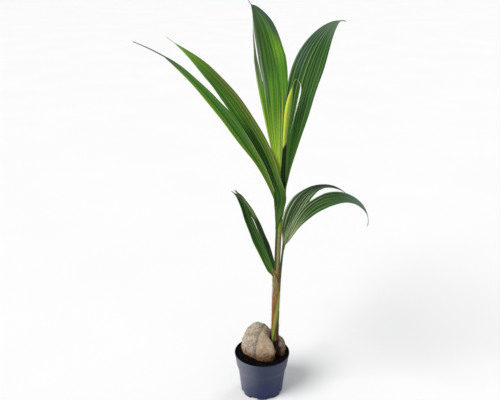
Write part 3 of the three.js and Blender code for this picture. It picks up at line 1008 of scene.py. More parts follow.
def rib_frame(rule, s):
    """The directions along a rib, out of the leaf's face and across the leaf."""
    swing = np.clip(s, 0, 1) ** rule["bend"]
    heading = np.radians(rule["heading"] + rule["sweep"] * swing)
    slope = column(np.radians(mix(rule["launch"], rule["tip"], swing)))
    ahead = np.stack([np.cos(heading), np.sin(heading), np.zeros_like(heading)], -1)
    along = ahead * np.cos(slope) + UP * np.sin(slope)
    face = UP * np.cos(slope) - ahead * np.sin(slope)
    return along, face, np.cross(ahead, UP)


def rib_line(rule, s):
    """Places along a rib. Below its root it runs straight on, down into what carries it."""
    steps = np.linspace(0, 1, RIB_STEPS + 1)
    along = rib_frame(rule, (steps[:-1] + steps[1:]) / 2)[0]
    root = np.array(rule["root"], float)
    line = np.vstack([root, root + np.cumsum(along, 0) * rule["length"] / RIB_STEPS])
    places = np.stack([np.interp(s, steps, line[:, k]) for k in range(3)], -1)
    return places + column(np.minimum(s, 0)) * rule["length"] * along[0]


# %% [markdown]
# ## The stalk
#
# The right-hand leaf stands on a slender stalk that leaves the brown sheath, with a shallow channel along
# its upper side. A bevelled curve could give a round one without the channel. Here it is a tube along a
# rib, so its bend follows the same rule as the leaves.

# %% Model the stalk
RIGHT_PETIOLE = dict(
    root=(55.2, -8, 385), length=172, heading=-53, sweep=0, launch=86.7, tip=80, bend=1.5, start=0.02
)
PETIOLE_RADII = (4, 3.4)
CHANNEL = {"depth": 0.9, "spread": 0.55}


def limb_shape(rule, half):
    """A round limb along a rib; half gives its half width across and through at each place."""

    def shape(angle, share):
        s = mix(rule["start"], 1, share)
        _, face, across = rib_frame(rule, s)
        wide, thick = half(s, angle)
        aside = across * column(np.cos(angle) * wide)
        above = face * column(np.sin(angle) * thick)
        return rib_line(rule, s) + aside + above

    return shape


def petiole_half(s, angle):
    radius = mix(*PETIOLE_RADII, s) + 0.12 * np.sin(9 * angle)
    channel = CHANNEL["depth"] * bell(angle, math.pi / 2, CHANNEL["spread"]) * smooth(s, 0.3, 1)
    return radius, radius - channel


petiole = tube("right_leaf_stalk", limb_shape(RIGHT_PETIOLE, petiole_half), around=40, along=60)
hand_over(petiole, "green_stem", green_base, "right_petiole")

# %% [markdown]
# ## The spear
#
# The newest leaf is still rolled into a spear. A sheet could be rolled up in many turns, but only the
# outermost shows. So it is a tube like the stalk, which swells towards its tip. Its outer edge laps over in
# a step, and the pleats of the later blade show as lines along it.

# %% Model the spear
SPEAR = dict(root=(63.5, -8, 732), length=350, heading=-10, sweep=0, launch=90, tip=77, bend=2.4, start=0)
SPEAR_HALF = (6, 8.8)
SPEAR_SWELL = {"root": 0.5, "rise": 3.0, "widest": 0.74, "tip": 0.2, "fall": 2.8}
SPEAR_PLEATS = 11


def spear_half(s, angle):
    widest = SPEAR_SWELL["widest"]
    past = np.maximum(s - widest, 0) / (1 - widest)
    rising = mix(SPEAR_SWELL["root"], 1, (s / widest) ** SPEAR_SWELL["rise"])
    falling = np.maximum(1 - past ** SPEAR_SWELL["fall"], SPEAR_SWELL["tip"])
    swell = np.where(s < widest, rising, falling)
    lap = 0.1 * np.tanh(9 * np.sin((angle + 1.9 - 0.7 * s) / 2))
    fold = 1 + 0.05 * np.sin(SPEAR_PLEATS * angle) + lap
    return SPEAR_HALF[0] * swell * fold, SPEAR_HALF[1] * swell * fold


spear = tube("rolled_spear_leaf", limb_shape(SPEAR, spear_half), around=132, along=120)
print("spear", len(spear.data.polygons), "faces")

# %% [markdown]
# A rolled leaf has seen little light yet: it is lemon and lime, and greener in its lines. Its lit side is
# painted lemon as painted light and its other flank darker green as painted shade. Its lower part stands
# deep between the blades and is painted nearly black there as shade. The angle round the tube and the share
# of its length, both stored on its corners, place these colours.

# %% Paint the spear
SPEAR_LEMON = srgb(214, 222, 72)
SPEAR_LIME = srgb(160, 180, 66)
SPEAR_GREEN = srgb(88, 116, 46)
SPEAR_SHADE = srgb(6, 20, 12)

material, paint = new_finish("spear_skin")
around, along = paint.attribute("around"), paint.attribute("along")
line = (around * SPEAR_PLEATS).maths("SINE")
soft = paint.grain(paint.spot(around * 3, along * 3), 1, 3)
lit = (around - 0.3).maths("SINE") + soft * 0.5
deep = 1 - (along + around.maths("SINE") * 0.025 + soft * 0.03).between(0.46, 0.5)
shade = paint.coats(SPEAR_SHADE, (SPEAR_GREEN, line.between(0.0, 1.0) * soft * 0.35))
skin = paint.coats(
    SPEAR_LIME,
    # Painted light and shade: lemon on the lit side, and a darker green flank as painted shade.
    (SPEAR_LEMON, lit.between(0.1, 0.8)),
    (SPEAR_GREEN, (1 - lit.between(-0.35, 0.25)) * 0.5),
    (SPEAR_GREEN, line.between(0.2, 1.0) * 0.3),
    (SPEAR_GREEN, along.between(0.95, 1.0) * 0.6),
    # Painted shade: the lower part, deep between the blades, is nearly black.
    (shade, deep),
)
threads = paint.grain(paint.spot(around * 40, along * 4), 1, 2)
wire(material, skin, 0.4 + soft * 0.15, threads, 0.0003, shine=0.12)
hand_over(spear, "young_leaf", material, "spear")

# %% [markdown]
# ## The thread
#
# A dry thread that held the blades' tips together has sprung off the spear in a hook and hangs down as a
# pale ribbon. A curve object could give its way, but it would have to be made a mesh. A short helper gives
# places on a smooth curve through a few points instead.

# %% A curve through a few places
def through(points, s):
    """A smooth curve through a few points, at shares of its way."""
    ends = np.vstack([2 * points[0] - points[1], points, 2 * points[-1] - points[-2]])
    place = np.clip(s, 0, 1) * (len(points) - 1)
    i = np.minimum(place.astype(int), len(points) - 2)
    t = column(place - i)
    a, b, c, d = (ends[i + k] for k in range(4))
    return 0.5 * (2 * b + (c - a) * t + (2 * a - 5 * b + 4 * c - d) * t**2 + (3 * b - a - 3 * c + d) * t**3)


# %% [markdown]
# A few places give the thread's way, worked out from the hook's size and the drop. A thin tube would be
# simpler. It is a narrow grid, because the real thread is flat and twists as a ribbon does.

# %% Model the thread
THREAD = {"hook": 11.5, "drop": 150, "back": 12}
THREAD_WIDTH = (1.5, 5.2)
THREAD_THICK = 0.8
THREAD_TWIST = 35

hook, drop, back = THREAD["hook"], THREAD["drop"], THREAD["back"]
knots = np.array([
    (0, 0, 0.3),
    (0.2 * hook, 0, hook),
    (hook, 0, 1.5 * hook),
    (2 * hook, 0.15 * back, -0.5 * hook),
    (1.2 * hook, 0.5 * back, -0.42 * drop),
    (-0.5 * hook, back, -drop),
])

ribbon = grid("spear_thread_ribbon", columns=4, rows=120)
side, s = grid_shares(ribbon)
way = rib_line(SPEAR, np.ones(1)) + through(knots, s)
twist = np.radians(THREAD_TWIST * np.sin(6 * s))
wide = mix(*THREAD_WIDTH, smooth(s, 0.55, 0.68)) * mix(1, 0.25, smooth(s, 0.72, 1))
across = np.stack([np.cos(twist), np.sin(twist), 0 * twist], -1)
mark(ribbon, along=s)
thicken(ribbon, way + across * column(side * wide / 2), THREAD_THICK)
print("thread", len(ribbon.data.polygons), "faces")

# %% [markdown]
# The thread is greenish on the spear and at its end and bleached in between. A plain colour would look like
# wire, so the share of its length places the tones.

# %% Paint the thread
THREAD_PALE = srgb(236, 240, 232)
THREAD_GREEN = srgb(140, 162, 96)

material, paint = new_finish("dry_thread")
along = paint.attribute("along")
tone = paint.grain(paint.place(), 220, 3)
skin = paint.coats(
    THREAD_GREEN,
    (THREAD_PALE, along.between(0.45, 0.62)),
    (THREAD_GREEN, (along + tone * 0.2).between(0.82, 1.08)),
)
wire(material, skin, 0.55 + tone * 0.2, tone, 0.0002)
hand_over(ribbon, "pale_thread", material, "spear_thread")

# %% [markdown]
# ## The leaves
#
# A seedling's leaf is one pleated blade that is split from its tip into two lobes. Each lobe is grown as
# one sheet: a grid whose length follows a rib and whose width swells and narrows to a drawn-out tip. A leaf
# could be a flat picture of one, but then it would have neither pleats nor a curl. Real margins are uneven,
# so each is drawn in or out by a few shares along the way.

# %% How wide a blade is
BLADE_RISE = 1.5
TIP_WIDTH = 2.4
PLEAT_ROUND = 0.93  # 1 would fold the pleats sharply
EDGE_SHIFTS = np.linspace(-0.03, 0.03, 7)  # shares at close places are averaged, so that no corner shows


def blade_width(rule, s):
    narrowing, tip = rule["taper"]
    rising = np.sin(np.pi / 2 * np.minimum(s / rule["widest"], 1)) ** BLADE_RISE
    past = np.clip((s - rule["widest"]) / (1 - rule["tail"] - rule["widest"]), 0, 1)
    falling = np.maximum((1 - past**narrowing) ** tip, rule.get("end", TIP_WIDTH) / rule["width"])
    return rule["width"] * np.where(s < rule["widest"], mix(rule["neck"], 1, rising), falling)


def edge_share(rule, side, s):
    """Draws a margin in or out along the leaf, where the real one is torn or uneven."""
    share = np.ones_like(s)
    for name, sign in (("left", -1), ("right", 1)):
        if name in rule:
            places, shares = zip(*rule[name])
            drawn = np.mean([np.interp(s + shift, places, shares) for shift in EDGE_SHIFTS], axis=0)
            share = np.where(sign * side > 0, drawn, share)
    return share


def pleat_wave(rule, side):
    """Folds of uneven width with rounded ridges, 1 on a ridge and -1 in a groove."""
    uneven = side + 0.05 * np.sin(7 * side + rule["heading"]) * (1 - side**2)
    return np.arcsin(PLEAT_ROUND * np.sin(np.pi * rule["pleats"] * (uneven + 1))) / math.asin(PLEAT_ROUND)


# %% [markdown]
# Near the stem the sheet is a gutter, and it opens into a nearly flat blade, with the pleats running from
# foot to tip and a slight ripple at the margins. A flat sheet with bend modifiers could come near it. Here
# every corner is worked out from its share across and along the leaf, because that holds the width true
# along a curved rib.

# %% Grow the open blade
OPENS = 0.45
RIPPLE = {"height": 0.7, "waves": 4.0}


def blade_places(rule, side, s):
    grown = np.clip(s, 0, 1)
    along, face, across = rib_frame(rule, grown)
    roll = column(np.radians(mix(*rule["roll"], grown)))
    normal = face * np.cos(roll) + across * np.sin(roll)
    sideways = np.cross(along, normal)
    opening = smooth(grown, 0, OPENS)
    cup = np.radians(mix(*rule["cup"], opening))
    turn = (side * edge_share(rule, side, grown) + rule["lean"] * opening) * cup / 2
    surface = normal * column(np.cos(turn)) - sideways * column(np.sin(turn))
    width = blade_width(rule, grown)
    pleat = rule["depth"] * pleat_wave(rule, side) * width / (2 * rule["pleats"]) * mix(0.25, 1, opening)
    wave = np.sin(math.tau * RIPPLE["waves"] * grown + 2 * side + rule["heading"])
    ripple = RIPPLE["height"] * wave * np.abs(side) ** 3 * opening * smooth(width, 4, 40)
    reach = column(width / cup)
    bowed = sideways * column(np.sin(turn)) + normal * column(1 - np.cos(turn))
    return rib_line(rule, s) + bowed * reach + surface * column(pleat + ripple)


# %% [markdown]
# A palm leaf has no joint at its foot: its base wraps what carries it. So the sheet runs on below its root
# and is laid round the stem, or round the stalk. A separate collar would show a seam. A share that changes
# along the sheet blends the wrapped foot into the open blade.

# %% Clasp the foot round what carries it
CLASP = (-0.04, 0.1)  # shares of the length between which a wrapped foot becomes an open blade
FOOT_SUNK = 0.8
FOOT_RAMP = 25
FOOT_SWING = 110


def stalk_axis(height):
    line = rib_line(RIGHT_PETIOLE, np.linspace(0, 1, 20))
    return np.stack([np.interp(height, line[:, 2], line[:, k]) for k in range(2)], -1)


def clasp_places(rule, side, s):
    depth, facing, half, *low = rule["foot"]
    low_facing, low_half = low or (facing, half)
    below = s * rule["length"]
    height = rule["root"][2] + below
    if "on_stalk" in rule:
        axis, radius = stalk_axis(height), PETIOLE_RADII[1]
    else:
        axis, radius = stem_axis(height), stem_radius(np.minimum(height, STEM_TOP))
    radius = radius + mix(-FOOT_SUNK, rule["lift"], smooth(below, -depth, -depth + FOOT_RAMP))
    upper = smooth(below, -min(depth, FOOT_SWING), -10)
    middle = np.radians(mix(low_facing, facing, upper))
    half_turn = np.radians(mix(low_half, half, upper))
    _, _, across = rib_frame(rule, np.zeros(1))
    first = math.radians(facing)
    hand = np.sign(across[0] @ np.array([-math.sin(first), math.cos(first), 0]))
    return round_axis(axis, height, middle + hand * side * half_turn, radius)


def leaf_places(rule, side, s):
    share = column(smooth(s, *rule.get("clasp", CLASP)))
    return mix(clasp_places(rule, side, s), blade_places(rule, side, s), share)


# %% [markdown]
# One lobe of the tall leaf has a slit along a pleat, where the wind has torn it. It could be painted, but
# what is behind has to show through. So the faces of one column are deleted, and the sides of the slit are
# spread apart.

# %% Cut the slit
SLIT_AIM = (-0.6, -0.97)  # the slit runs out towards the margin


def slit_spread(rule, side, s):
    at, first, last, gap = rule["slit"]
    aim = mix(*SLIT_AIM, smooth(s, 0.5, last))
    outer = -1 + (side + 1) / (at + 1) * (aim + 1)
    inner = aim + (side - at) / (1 - at) * (1 - aim)
    opened = gap * np.sin(np.pi * np.clip((s - first) / (last - first), 0, 1) ** 1.9)
    spread = np.where(side < at, outer - opened * (side + 1), inner + opened * (1 - side))
    return mix(side, spread, smooth(s, 0.1, first))


def cut_slit(sheet, rule, low):
    at, first, last, _ = rule["slit"]
    centres = np.array([face.center for face in sheet.data.polygons])
    s = mix(low, 1, (centres[:, 1] + 1) / 2)
    nearest = centres[np.argmin(np.abs(centres[:, 0] - at)), 0]
    torn = (np.abs(centres[:, 0] - nearest) < 1e-4) & inside(s, first, last)
    bpy.ops.object.mode_set(mode="EDIT")
    bpy.ops.mesh.select_mode(type="FACE")
    bpy.ops.mesh.select_all(action="DESELECT")
    bpy.ops.object.mode_set(mode="OBJECT")
    sheet.data.polygons.foreach_set("select", torn)
    bpy.ops.object.mode_set(mode="EDIT")
    bpy.ops.mesh.delete(type="FACE")
    bpy.ops.object.mode_set(mode="OBJECT")


# %% [markdown]
# A grid is placed as a leaf, thickened and handed over as soon as it is grown, in place of its lobe and of
# the drooping tip where the solids have one. It could stay without thickness, but then it would vanish when
# seen from its edge.

# %% Make a leaf
SHEET = 0.9
ROWS = 170
COLUMNS_PER_PLEAT = 8


def grow_leaf(name, rule, finish):
    sheet = grid(name + "_sheet", rule["pleats"] * COLUMNS_PER_PLEAT, ROWS)
    low = -rule["foot"][0] / rule["length"]
    if "slit" in rule:
        cut_slit(sheet, rule, low)
    side, share = grid_shares(sheet)
    s = mix(low, 1, share)
    mark(sheet, across=side, along=s, ridge=pleat_wave(rule, side))
    if "slit" in rule:
        side = slit_spread(rule, side, s)
    thicken(sheet, leaf_places(rule, side, s), SHEET)
    nodes = [node for node in (name, name.replace("lobe", "tip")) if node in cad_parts]
    hand_over(sheet, "leaf", finish, *nodes)


# %% [markdown]
# ## Leaf green
#
# The greens differ from leaf to leaf: the newest blades are yellow-green at the foot, the older ones dark,
# and the tips are bleached to grey. A material could be built for each. Here all share one network: long
# streaks of noise follow the leaf, ridges are painted pale as highlights and grooves dark as shade, a tint
# towards the tip is wax bloom with painted sheen, and patches with soft borders take up what is special to
# a leaf, painted highlights, sheen and shade among them.

# %% The leaf finish
SIDE_SOFT = 0.12
LOW_SOFT = 0.05
HIGH_SOFT = 0.08
RIDGE_SOFT = 0.1
BLOOM_AND_SHEEN_SOFT = 0.25
TIP_SOFT = 0.06


def patch(across, along, left, right, low, high):
    """1 on a part of the blade between two sides and two shares of its length, with soft borders."""
    sides = across.window(left, right, SIDE_SOFT)
    above = along.between(low - LOW_SOFT, low + LOW_SOFT)
    return sides * above * (1 - along.between(high - HIGH_SOFT, high + HIGH_SOFT))


def leaf_finish(name, deep, bright, foot, ridge, bloom_and_sheen, tip, patches):
    """Each colour but the first two comes with its share and the part of the length that it belongs to."""
    material, paint = new_finish(name)
    across, along, fold = (paint.attribute(key) for key in ("across", "along", "ridge"))
    streak = paint.grain(paint.spot(across * 5, along * 1.5), 1, 4)
    vein = paint.grain(paint.spot(across * 60, along * 3), 1, 2)
    some = paint.grain(paint.spot(across * 6, along * 2, 5.0), 1, 2).between(0.3, 0.7)
    loose = across + streak * 0.3 - 0.15
    foot_green, foot_share, foot_end = foot
    ridge_highlight_green, ridge_highlight_share, groove_shade_share, *ridge_ends = ridge
    bloom_and_sheen_green, bloom_and_sheen_share, bloom_and_sheen_from = bloom_and_sheen
    tip_grey, tip_from = tip
    ridged = along.window(*ridge_ends, RIDGE_SOFT)
    bloom_and_sheen_part = (along + streak * 0.2 - 0.1).between(bloom_and_sheen_from, bloom_and_sheen_from + BLOOM_AND_SHEEN_SOFT)
    green = paint.coats(
        srgb(*deep),
        (srgb(*bright), (streak + vein * 0.3).between(0.45, 0.85)),
        (srgb(*foot_green), (1 - (along + streak * 0.2).between(0.1, foot_end + 0.1)) * foot_share),
        *((srgb(*tint), patch(loose, along, *where) * share) for tint, share, *where in patches),
        # Painted shade in the grooves of the pleats.
        (srgb(*deep), (fold * -1).between(0.0, 1.0) * (ridged * 0.8 + 0.2) * groove_shade_share),
        # Painted highlight on the ridges of the pleats.
        (srgb(*ridge_highlight_green), fold.between(0.55, 1.0) * ridged * (some * 0.75 + 0.25) * ridge_highlight_share),
        # Wax bloom with painted sheen towards the tip.
        (srgb(*bloom_and_sheen_green), bloom_and_sheen_part * bloom_and_sheen_share),
        (srgb(*tip_grey), along.between(tip_from, tip_from + TIP_SOFT)),
    )
    wire(material, green, 0.4 + streak * 0.14, vein * 0.6 + fold * 0.2, 0.0003, shine=0.12)
    return material


# %% [markdown]
# ## The tall leaf
#
# The youngest open leaf stands upright behind the spear. Its left lobe is broad, glows yellow-green at the
# foot and is torn near its left margin. A picture on a plane would be quicker, but it would have no back. A
# rule grows the lobe instead, in millimetres, degrees and shares of its length: root to bend give the rib,
# width to taper the outline, left and right the margins, roll, lean and cup the turn and the bow of the
# blade, and foot and lift the wrapped base.

# %% Grow the tall leaf's left lobe
grow_leaf(
    "top_frond_left_lobe",
    dict(
        root=(56, 5, 734), length=611, heading=112, sweep=76, launch=76, tip=53, bend=5.7,
        width=98, widest=0.69, neck=0.08, tail=0.03, taper=(1, 0.53),
        roll=(-42, -23), lean=0.14, cup=(140, 34), pleats=9, depth=0.3,
        foot=(60, 100, 75), lift=0.2, slit=(-0.7, 0.58, 0.92, 0.045),
        left=[(0.3, 1.02), (0.5, 1.05), (0.7, 1.06), (0.76, 1.1), (0.82, 1.18), (0.95, 1.2)],
        right=[
            (0, 1.25), (0.2, 1.2), (0.4, 1), (0.6, 1.03),
            (0.72, 0.97), (0.8, 1.06), (0.86, 1.22), (0.97, 1.4),
        ],
    ),
    leaf_finish(
        "tall_leaf_left", deep=(48, 88, 26), bright=(102, 156, 48), foot=((192, 226, 68), 0.94, 0.5),
        ridge=((216, 238, 104), 0.6, 0.8, 0.0, 0.5),
        # Painted sheen: the grey-blue tint towards the tip.
        bloom_and_sheen=((88, 108, 92), 0.8, 0.77), tip=((110, 118, 106), 0.95),
        patches=[
            # Painted sheen at the right towards the tip; the next patch is a painted highlight.
            ((54, 72, 66), 0.8, 0.6, 1.2, 0.78, 1.0),
            ((120, 160, 50), 0.5, 0.3, 0.9, 0.68, 0.78),
            ((52, 82, 42), 0.55, -0.45, 0.25, 0.6, 0.88),
            ((112, 118, 92), 0.8, -1.3, -0.72, 0.58, 0.95),
            # Painted sheen on the pale grey strip beside the slit, and painted shade on the dark strip next
            # to it.
            ((136, 150, 138), 0.6, -0.66, -0.5, 0.5, 0.85),
            ((30, 54, 28), 0.7, -0.52, -0.38, 0.45, 0.85),
            ((160, 190, 70), 0.6, -1.2, -0.9, 0.1, 0.6),
            ((92, 124, 60), 0.75, 0.36, 1.3, -0.1, 0.36),
        ],
    ),
)

# %% [markdown]
# The right lobe is turned from the light, so its greens are painted darker as shade, and it hangs over at
# the tip. It could be a mirrored copy of the left one, but on the plant no two lobes are alike, so it has a
# rule of its own.

# %% Grow the tall leaf's right lobe
grow_leaf(
    "top_frond_right_lobe",
    dict(
        root=(66, 5, 734), length=644, heading=36, sweep=18, launch=82, tip=-16, bend=3.65,
        width=103, widest=0.59, neck=0.36, tail=0.04, taper=(1.7, 1.2),
        roll=(-2, 46), lean=0.15, cup=(90, 34), pleats=10, depth=0.3,
        foot=(90, 10, 75), lift=0.6, clasp=(-0.04, 0.08), end=4.0,
        left=[(0.7, 1), (0.85, 0.93), (0.95, 0.85)],
        right=[(0, 1.5), (0.1, 1.45), (0.3, 1.15), (0.45, 1)],
    ),
    leaf_finish(
        # Painted shade: its greens are darker than the left lobe's.
        "tall_leaf_right", deep=(30, 58, 22), bright=(62, 106, 36), foot=((74, 112, 46), 0.85, 0.4),
        ridge=((140, 164, 126), 0.55, 0.5, 0.36, 0.9),
        # Painted sheen: the blue-grey tint towards the tip.
        bloom_and_sheen=((120, 140, 118), 0.95, 0.72), tip=((96, 96, 88), 0.95),
        patches=[
            # Painted sheen on the upper left towards the tip.
            ((76, 100, 90), 0.5, -1.2, -0.4, 0.6, 1.0),
            ((54, 96, 36), 0.5, 0.4, 1.2, 0.42, 0.8),
            # Painted shade at the foot on the left.
            ((24, 48, 26), 0.6, -1.2, -0.2, 0.0, 0.14),
        ],
    ),
)

# %% [markdown]
# ## The leaf that leans left
#
# The next leaf leans far out to the left. Its far lobe is broad and partly in shade: painted shade darkens
# it beside the near lobe and on the left of its foot, and the right of its foot is painted lighter as
# painted light. Its foot wraps the stem down to the low leaf. A sheath of its own could do that, but one
# sheet has no seam.

# %% Grow the left leaf's far lobe
grow_leaf(
    "left_frond_far_lobe",
    dict(
        root=(45, -25, 732), length=622, heading=118, sweep=86, launch=67, tip=36, bend=1,
        width=93, widest=0.74, neck=0.47, tail=0.05, taper=(1.4, 0.76),
        roll=(-25, -23), lean=-0.46, cup=(110, 40), pleats=8, depth=0.22,
        foot=(285, -100, 85, -158, 48), lift=2.4, end=3.4,
        left=[(0.86, 1), (0.93, 1.4)],
    ),
    leaf_finish(
        "left_leaf_far", deep=(44, 88, 26), bright=(96, 154, 48), foot=((52, 84, 28), 0.8, 0.22),
        ridge=((122, 164, 66), 0.5, 0.8, -0.6, 0.8),
        bloom_and_sheen=((124, 168, 48), 0.9, 0.66), tip=((176, 196, 92), 0.95),
        patches=[
            ((112, 124, 52), 0.5, 0.25, 1.3, 0.1, 0.72),
            ((132, 132, 68), 0.6, 0.72, 1.3, -0.05, 0.72),
            # Painted shade beside the near lobe and on the left of the foot; the right of the foot is painted
            # lighter as painted light.
            ((12, 38, 20), 0.9, -1.2, 0.2, 0.02, 0.4),
            ((18, 44, 14), 0.9, -1.2, 0.2, -0.6, 0.04),
            ((84, 122, 42), 0.8, 0.25, 1.3, -0.6, 0.02),
            ((30, 58, 22), 0.7, 0.38, 0.5, -0.3, 0.3),
            ((26, 54, 18), 0.9, -1.3, 1.3, -0.6, -0.15),
        ],
    ),
)

# %% [markdown]
# The near lobe is narrow, and its tip is dry and drawn out like a whip. It could be cut from a wide sheet,
# but the cut would end its pleats. A small width, a strong roll and a long tail in its rule keep them
# whole.

# %% Grow the left leaf's near lobe
grow_leaf(
    "left_frond_near_lobe",
    dict(
        root=(37, -23, 723), length=667, heading=-165, sweep=-10, launch=69.5, tip=21.4, bend=1.5,
        width=46, widest=0.36, neck=0.32, tail=0.13, taper=(2.26, 1.06),
        roll=(-64, -66), lean=-1.02, cup=(110, 40), pleats=6, depth=0.25,
        foot=(130, -168, 40), lift=3.5, clasp=(-0.09, 0.0), end=2.8,
        left=[(0.8, 1), (0.87, 1.5), (0.95, 1)],
        right=[
            (0.26, 1), (0.36, 1.2), (0.42, 1.4), (0.46, 1.32), (0.54, 1.03),
            (0.7, 1), (0.78, 1.3), (0.86, 1.7), (0.95, 1),
        ],
    ),
    leaf_finish(
        "left_leaf_near", deep=(66, 118, 40), bright=(116, 170, 54), foot=((118, 150, 58), 0.8, 0.3),
        ridge=((130, 170, 64), 0.35, 0.5, 0.0, 0.7),
        bloom_and_sheen=((92, 90, 94), 1.0, 0.69), tip=((156, 154, 158), 0.94),
        patches=[
            ((70, 118, 56), 0.6, 0.2, 1.2, 0.3, 0.85),
            ((34, 70, 24), 0.8, -0.1, 0.15, 0.2, 0.75),
            ((150, 178, 56), 0.75, -1.2, -0.7, 0.08, 0.75),
            ((186, 192, 146), 0.9, 0.88, 1.3, 0.0, 0.36),
            ((30, 58, 22), 0.85, -1.3, 1.3, -0.5, -0.02),
        ],
    ),
)

# %% [markdown]
# ## The drooping leaf on the right
#
# An older leaf stands on the stalk, and both its lobes bow over and hang down. The far one is dull, with
# ridges painted pale as highlights, and green at its foot where the sheet wraps the stalk. In the solids each
# lobe is split at its bend. Here one sheet covers both halves, because its pleats run on over the bend.

# %% Grow the right leaf's far lobe
grow_leaf(
    "right_frond_far_lobe",
    dict(
        root=(66, -24, 553), length=357, heading=63, sweep=-84, launch=69, tip=-42, bend=1.7,
        width=70, widest=0.43, neck=0.33, tail=0.03, taper=(1.9, 1),
        roll=(-13, -1), lean=0.38, cup=(130, 30), pleats=6, depth=0.5,
        foot=(18, 100, 80), lift=1.2, on_stalk=True,
        left=[
            (0, 0.1), (0.04, 0.4), (0.1, 0.67), (0.18, 1), (0.34, 1.23),
            (0.5, 1.36), (0.62, 1.15), (0.82, 1.25), (0.92, 1),
        ],
        right=[(0, 0.3), (0.05, 1.25), (0.4, 1.3), (0.56, 1.45), (0.64, 1.1), (0.72, 1)],
    ),
    leaf_finish(
        "right_leaf_far", deep=(50, 73, 42), bright=(88, 118, 68), foot=((140, 160, 108), 0.9, 0.4),
        ridge=((186, 206, 164), 1.8, 0.85, 0.1, 0.6),
        bloom_and_sheen=((64, 84, 66), 0.7, 0.55), tip=((62, 74, 58), 0.95),
        patches=[
            ((104, 122, 92), 0.6, -1.3, -0.5, 0.1, 0.6),
            ((26, 46, 26), 0.7, 0.6, 1.4, 0.08, 0.5),
            ((104, 124, 88), 0.5, -1.3, 0.5, 0.1, 0.28),
            ((62, 88, 42), 0.95, -1.3, 1.3, -0.2, 0.09),
        ],
    ),
)

# %% [markdown]
# The near lobe is pale at its foot and dark green where it hangs down. Its margins are uneven, which could
# be cut into the sheet. They are drawn in and out instead, so that the pleats follow them.

# %% Grow the right leaf's near lobe
grow_leaf(
    "right_frond_near_lobe",
    dict(
        root=(67, -29, 553), length=420, heading=-32, sweep=44, launch=63, tip=-104, bend=2.7,
        width=54, widest=0.56, neck=0.1, tail=0.03, taper=(1, 1.2),
        roll=(67, -4), lean=-0.37, cup=(130, 30), pleats=5, depth=0.5,
        foot=(18, -40, 80), lift=2.2, on_stalk=True, end=4.0,
        left=[
            (0, 0.3), (0.05, 1.15), (0.38, 1.1), (0.48, 0.93),
            (0.56, 0.96), (0.7, 1.37), (0.84, 1.75), (0.95, 1.9),
        ],
        right=[
            (0, 0.6), (0.03, 0.7), (0.1, 0.9), (0.2, 1.1), (0.34, 1.38),
            (0.5, 1.68), (0.65, 1.62), (0.72, 1.1), (0.8, 0.8), (0.9, 1.5),
        ],
    ),
    leaf_finish(
        "right_leaf_near", deep=(28, 60, 22), bright=(58, 102, 36), foot=((182, 190, 142), 0.9, 0.42),
        ridge=((188, 200, 156), 0.6, 1.2, 0.08, 0.58),
        # Painted sheen: the blue-grey tint from the bend towards the tip.
        bloom_and_sheen=((106, 130, 116), 0.9, 0.62), tip=((150, 158, 152), 0.93),
        patches=[
            ((44, 72, 40), 0.7, -1.3, -0.2, 0.36, 0.7),
            ((84, 86, 56), 0.6, 0.85, 1.3, 0.02, 0.4),
            ((62, 88, 42), 0.8, -1.3, -0.1, -0.2, 0.12),
            ((36, 58, 34), 0.85, -1.3, -0.86, 0.04, 0.26),
            ((62, 88, 42), 0.95, -1.3, 1.3, -0.2, 0.06),
        ],
    ),
)

# %% [markdown]
# ## The short leaf low on the left
#
# The oldest leaf is short and stiff. Its two lobes lie together, so that only a narrow slit of light shows
# between them, and their blunt tips are brown. The slit could be cut, but it is enough to draw in the far
# lobe's margin.

# %% Grow the low leaf's far lobe
grow_leaf(
    "low_frond_far_lobe",
    dict(
        root=(43, 5, 445), length=324, heading=162, sweep=-43, launch=70, tip=19, bend=3.3,
        width=54, widest=0.57, neck=0.35, tail=0.02, taper=(1.3, 0.8),
        roll=(-13, 40), lean=0.23, cup=(130, 30), pleats=7, depth=0.3,
        foot=(30, 130, 60), lift=0.6, end=5.0,
        left=[(0.48, 1), (0.55, 0.4), (0.64, 0.22), (0.7, 1), (0.85, 1.5), (0.91, 2.6)],
        right=[(0.58, 1), (0.71, 1.28), (0.78, 1.3), (0.85, 1.55), (0.91, 2.1), (0.95, 2.6)],
    ),
    leaf_finish(
        "low_leaf_far", deep=(26, 50, 28), bright=(54, 86, 42), foot=((84, 116, 58), 0.9, 0.34),
        ridge=((90, 116, 78), 0.4, 0.5, 0.1, 0.7),
        bloom_and_sheen=((60, 88, 50), 0.4, 0.7), tip=((70, 64, 70), 0.93),
        patches=[
            ((142, 164, 92), 0.9, 0.1, 0.8, 0.62, 0.9),
            ((72, 118, 38), 0.7, -1.2, -0.55, 0.15, 0.5),
        ],
    ),
)

# %% [markdown]
# The near lobe lies in front of the other and is brightest along its left margin. Both could be one sheet
# with a cut, but they bend in different ways towards their tips, so each has a rib of its own.

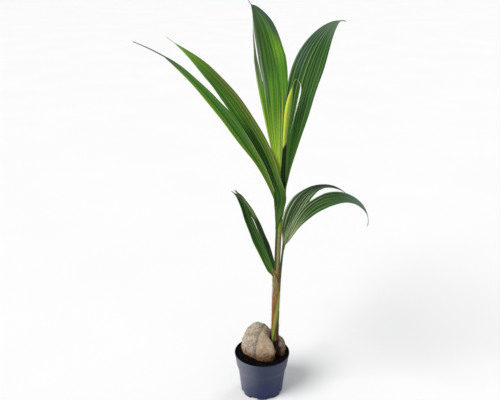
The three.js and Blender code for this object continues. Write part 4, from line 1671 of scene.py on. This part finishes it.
# %% Grow the low leaf's near lobe
grow_leaf(
    "low_frond_near_lobe",
    dict(
        root=(41, 2, 435), length=324, heading=141, sweep=35, launch=60, tip=37, bend=6.8,
        width=37, widest=0.7, neck=0.52, tail=0.02, taper=(2, 0.74),
        roll=(-75, 15), lean=-0.52, cup=(130, 30), pleats=5, depth=0.3,
        foot=(24, 180, 45), lift=1.6, end=5.0,
        left=[(0, 1.3), (0.1, 1.8), (0.2, 1.4), (0.32, 1.02), (0.5, 0.8), (0.8, 0.7), (0.95, 1)],
        right=[(0.8, 1), (0.88, 1.5), (0.95, 2.4)],
    ),
    leaf_finish(
        "low_leaf_near", deep=(42, 78, 32), bright=(82, 120, 54), foot=((86, 126, 46), 0.7, 0.22),
        ridge=((88, 138, 50), 0.45, 0.5, 0.0, 0.9),
        bloom_and_sheen=((50, 92, 34), 0.4, 0.75), tip=((64, 60, 64), 0.94),
        patches=[
            ((22, 58, 20), 0.75, -0.55, -0.1, 0.25, 0.9),
            ((100, 146, 42), 0.75, -1.2, -0.75, -0.05, 0.45),
        ],
    ),
)

# %% [markdown]
# ## Floor and light
#
# The plant stands on a plain pale floor. A picture could be laid behind it, but only a floor catches the
# pot's shadow, which shows that it stands on something.

# %% Lay the floor
FLOOR_SIZE = 60
FLOOR_PALE = (0.9, 0.9, 0.9)
FLOOR_WHITE = (0.94, 0.94, 0.94)

floor = primitive(bpy.ops.mesh.primitive_plane_add, "floor", size=FLOOR_SIZE)
material, paint = new_finish("pale_floor")
cloud = paint.grain(paint.place(), 1.5, 2)
wire(material, paint.coats(FLOOR_PALE, (FLOOR_WHITE, cloud)), 0.8 + cloud * 0.1)
floor.data.materials.append(material)
print("floor", FLOOR_SIZE, "m wide")

# %% [markdown]
# Soft studio light falls on the plant. A broad key light comes from the left, because the pot and the nut
# are brighter there. A cooler light from behind gives the leaves their sheen, and the pale surroundings
# fill the shadows. Area lights could do the same, but wide suns light the tall plant evenly from pot to
# tip.

# %% Set the lights
SURROUND = 0.42


def soft_sun(name, place, aim, power, colour, spread):
    bpy.ops.object.light_add(type="SUN", location=place)
    light = bpy.context.object
    light.name = name
    light.rotation_euler = (Vector(aim) - Vector(place)).to_track_quat("-Z", "Y").to_euler()
    light.data.energy = power
    light.data.color = colour
    light.data.angle = math.radians(spread)


soft_sun("key", (-1.6, -1.1, 2.5), (0, 0, 0.6), 2.5, (1.0, 0.99, 0.97), 35)
soft_sun("sheen", (0.9, 1.3, 2.4), (0, 0, 0.8), 0.5, (0.86, 0.93, 1.0), 20)
world = bpy.data.worlds.new("pale_studio")
world.use_nodes = True
world.node_tree.nodes["Background"].inputs["Color"].default_value = (1, 1, 1, 1)
world.node_tree.nodes["Background"].inputs["Strength"].default_value = SURROUND
bpy.context.scene.world = world
bpy.context.scene.view_settings.view_transform = "Standard"
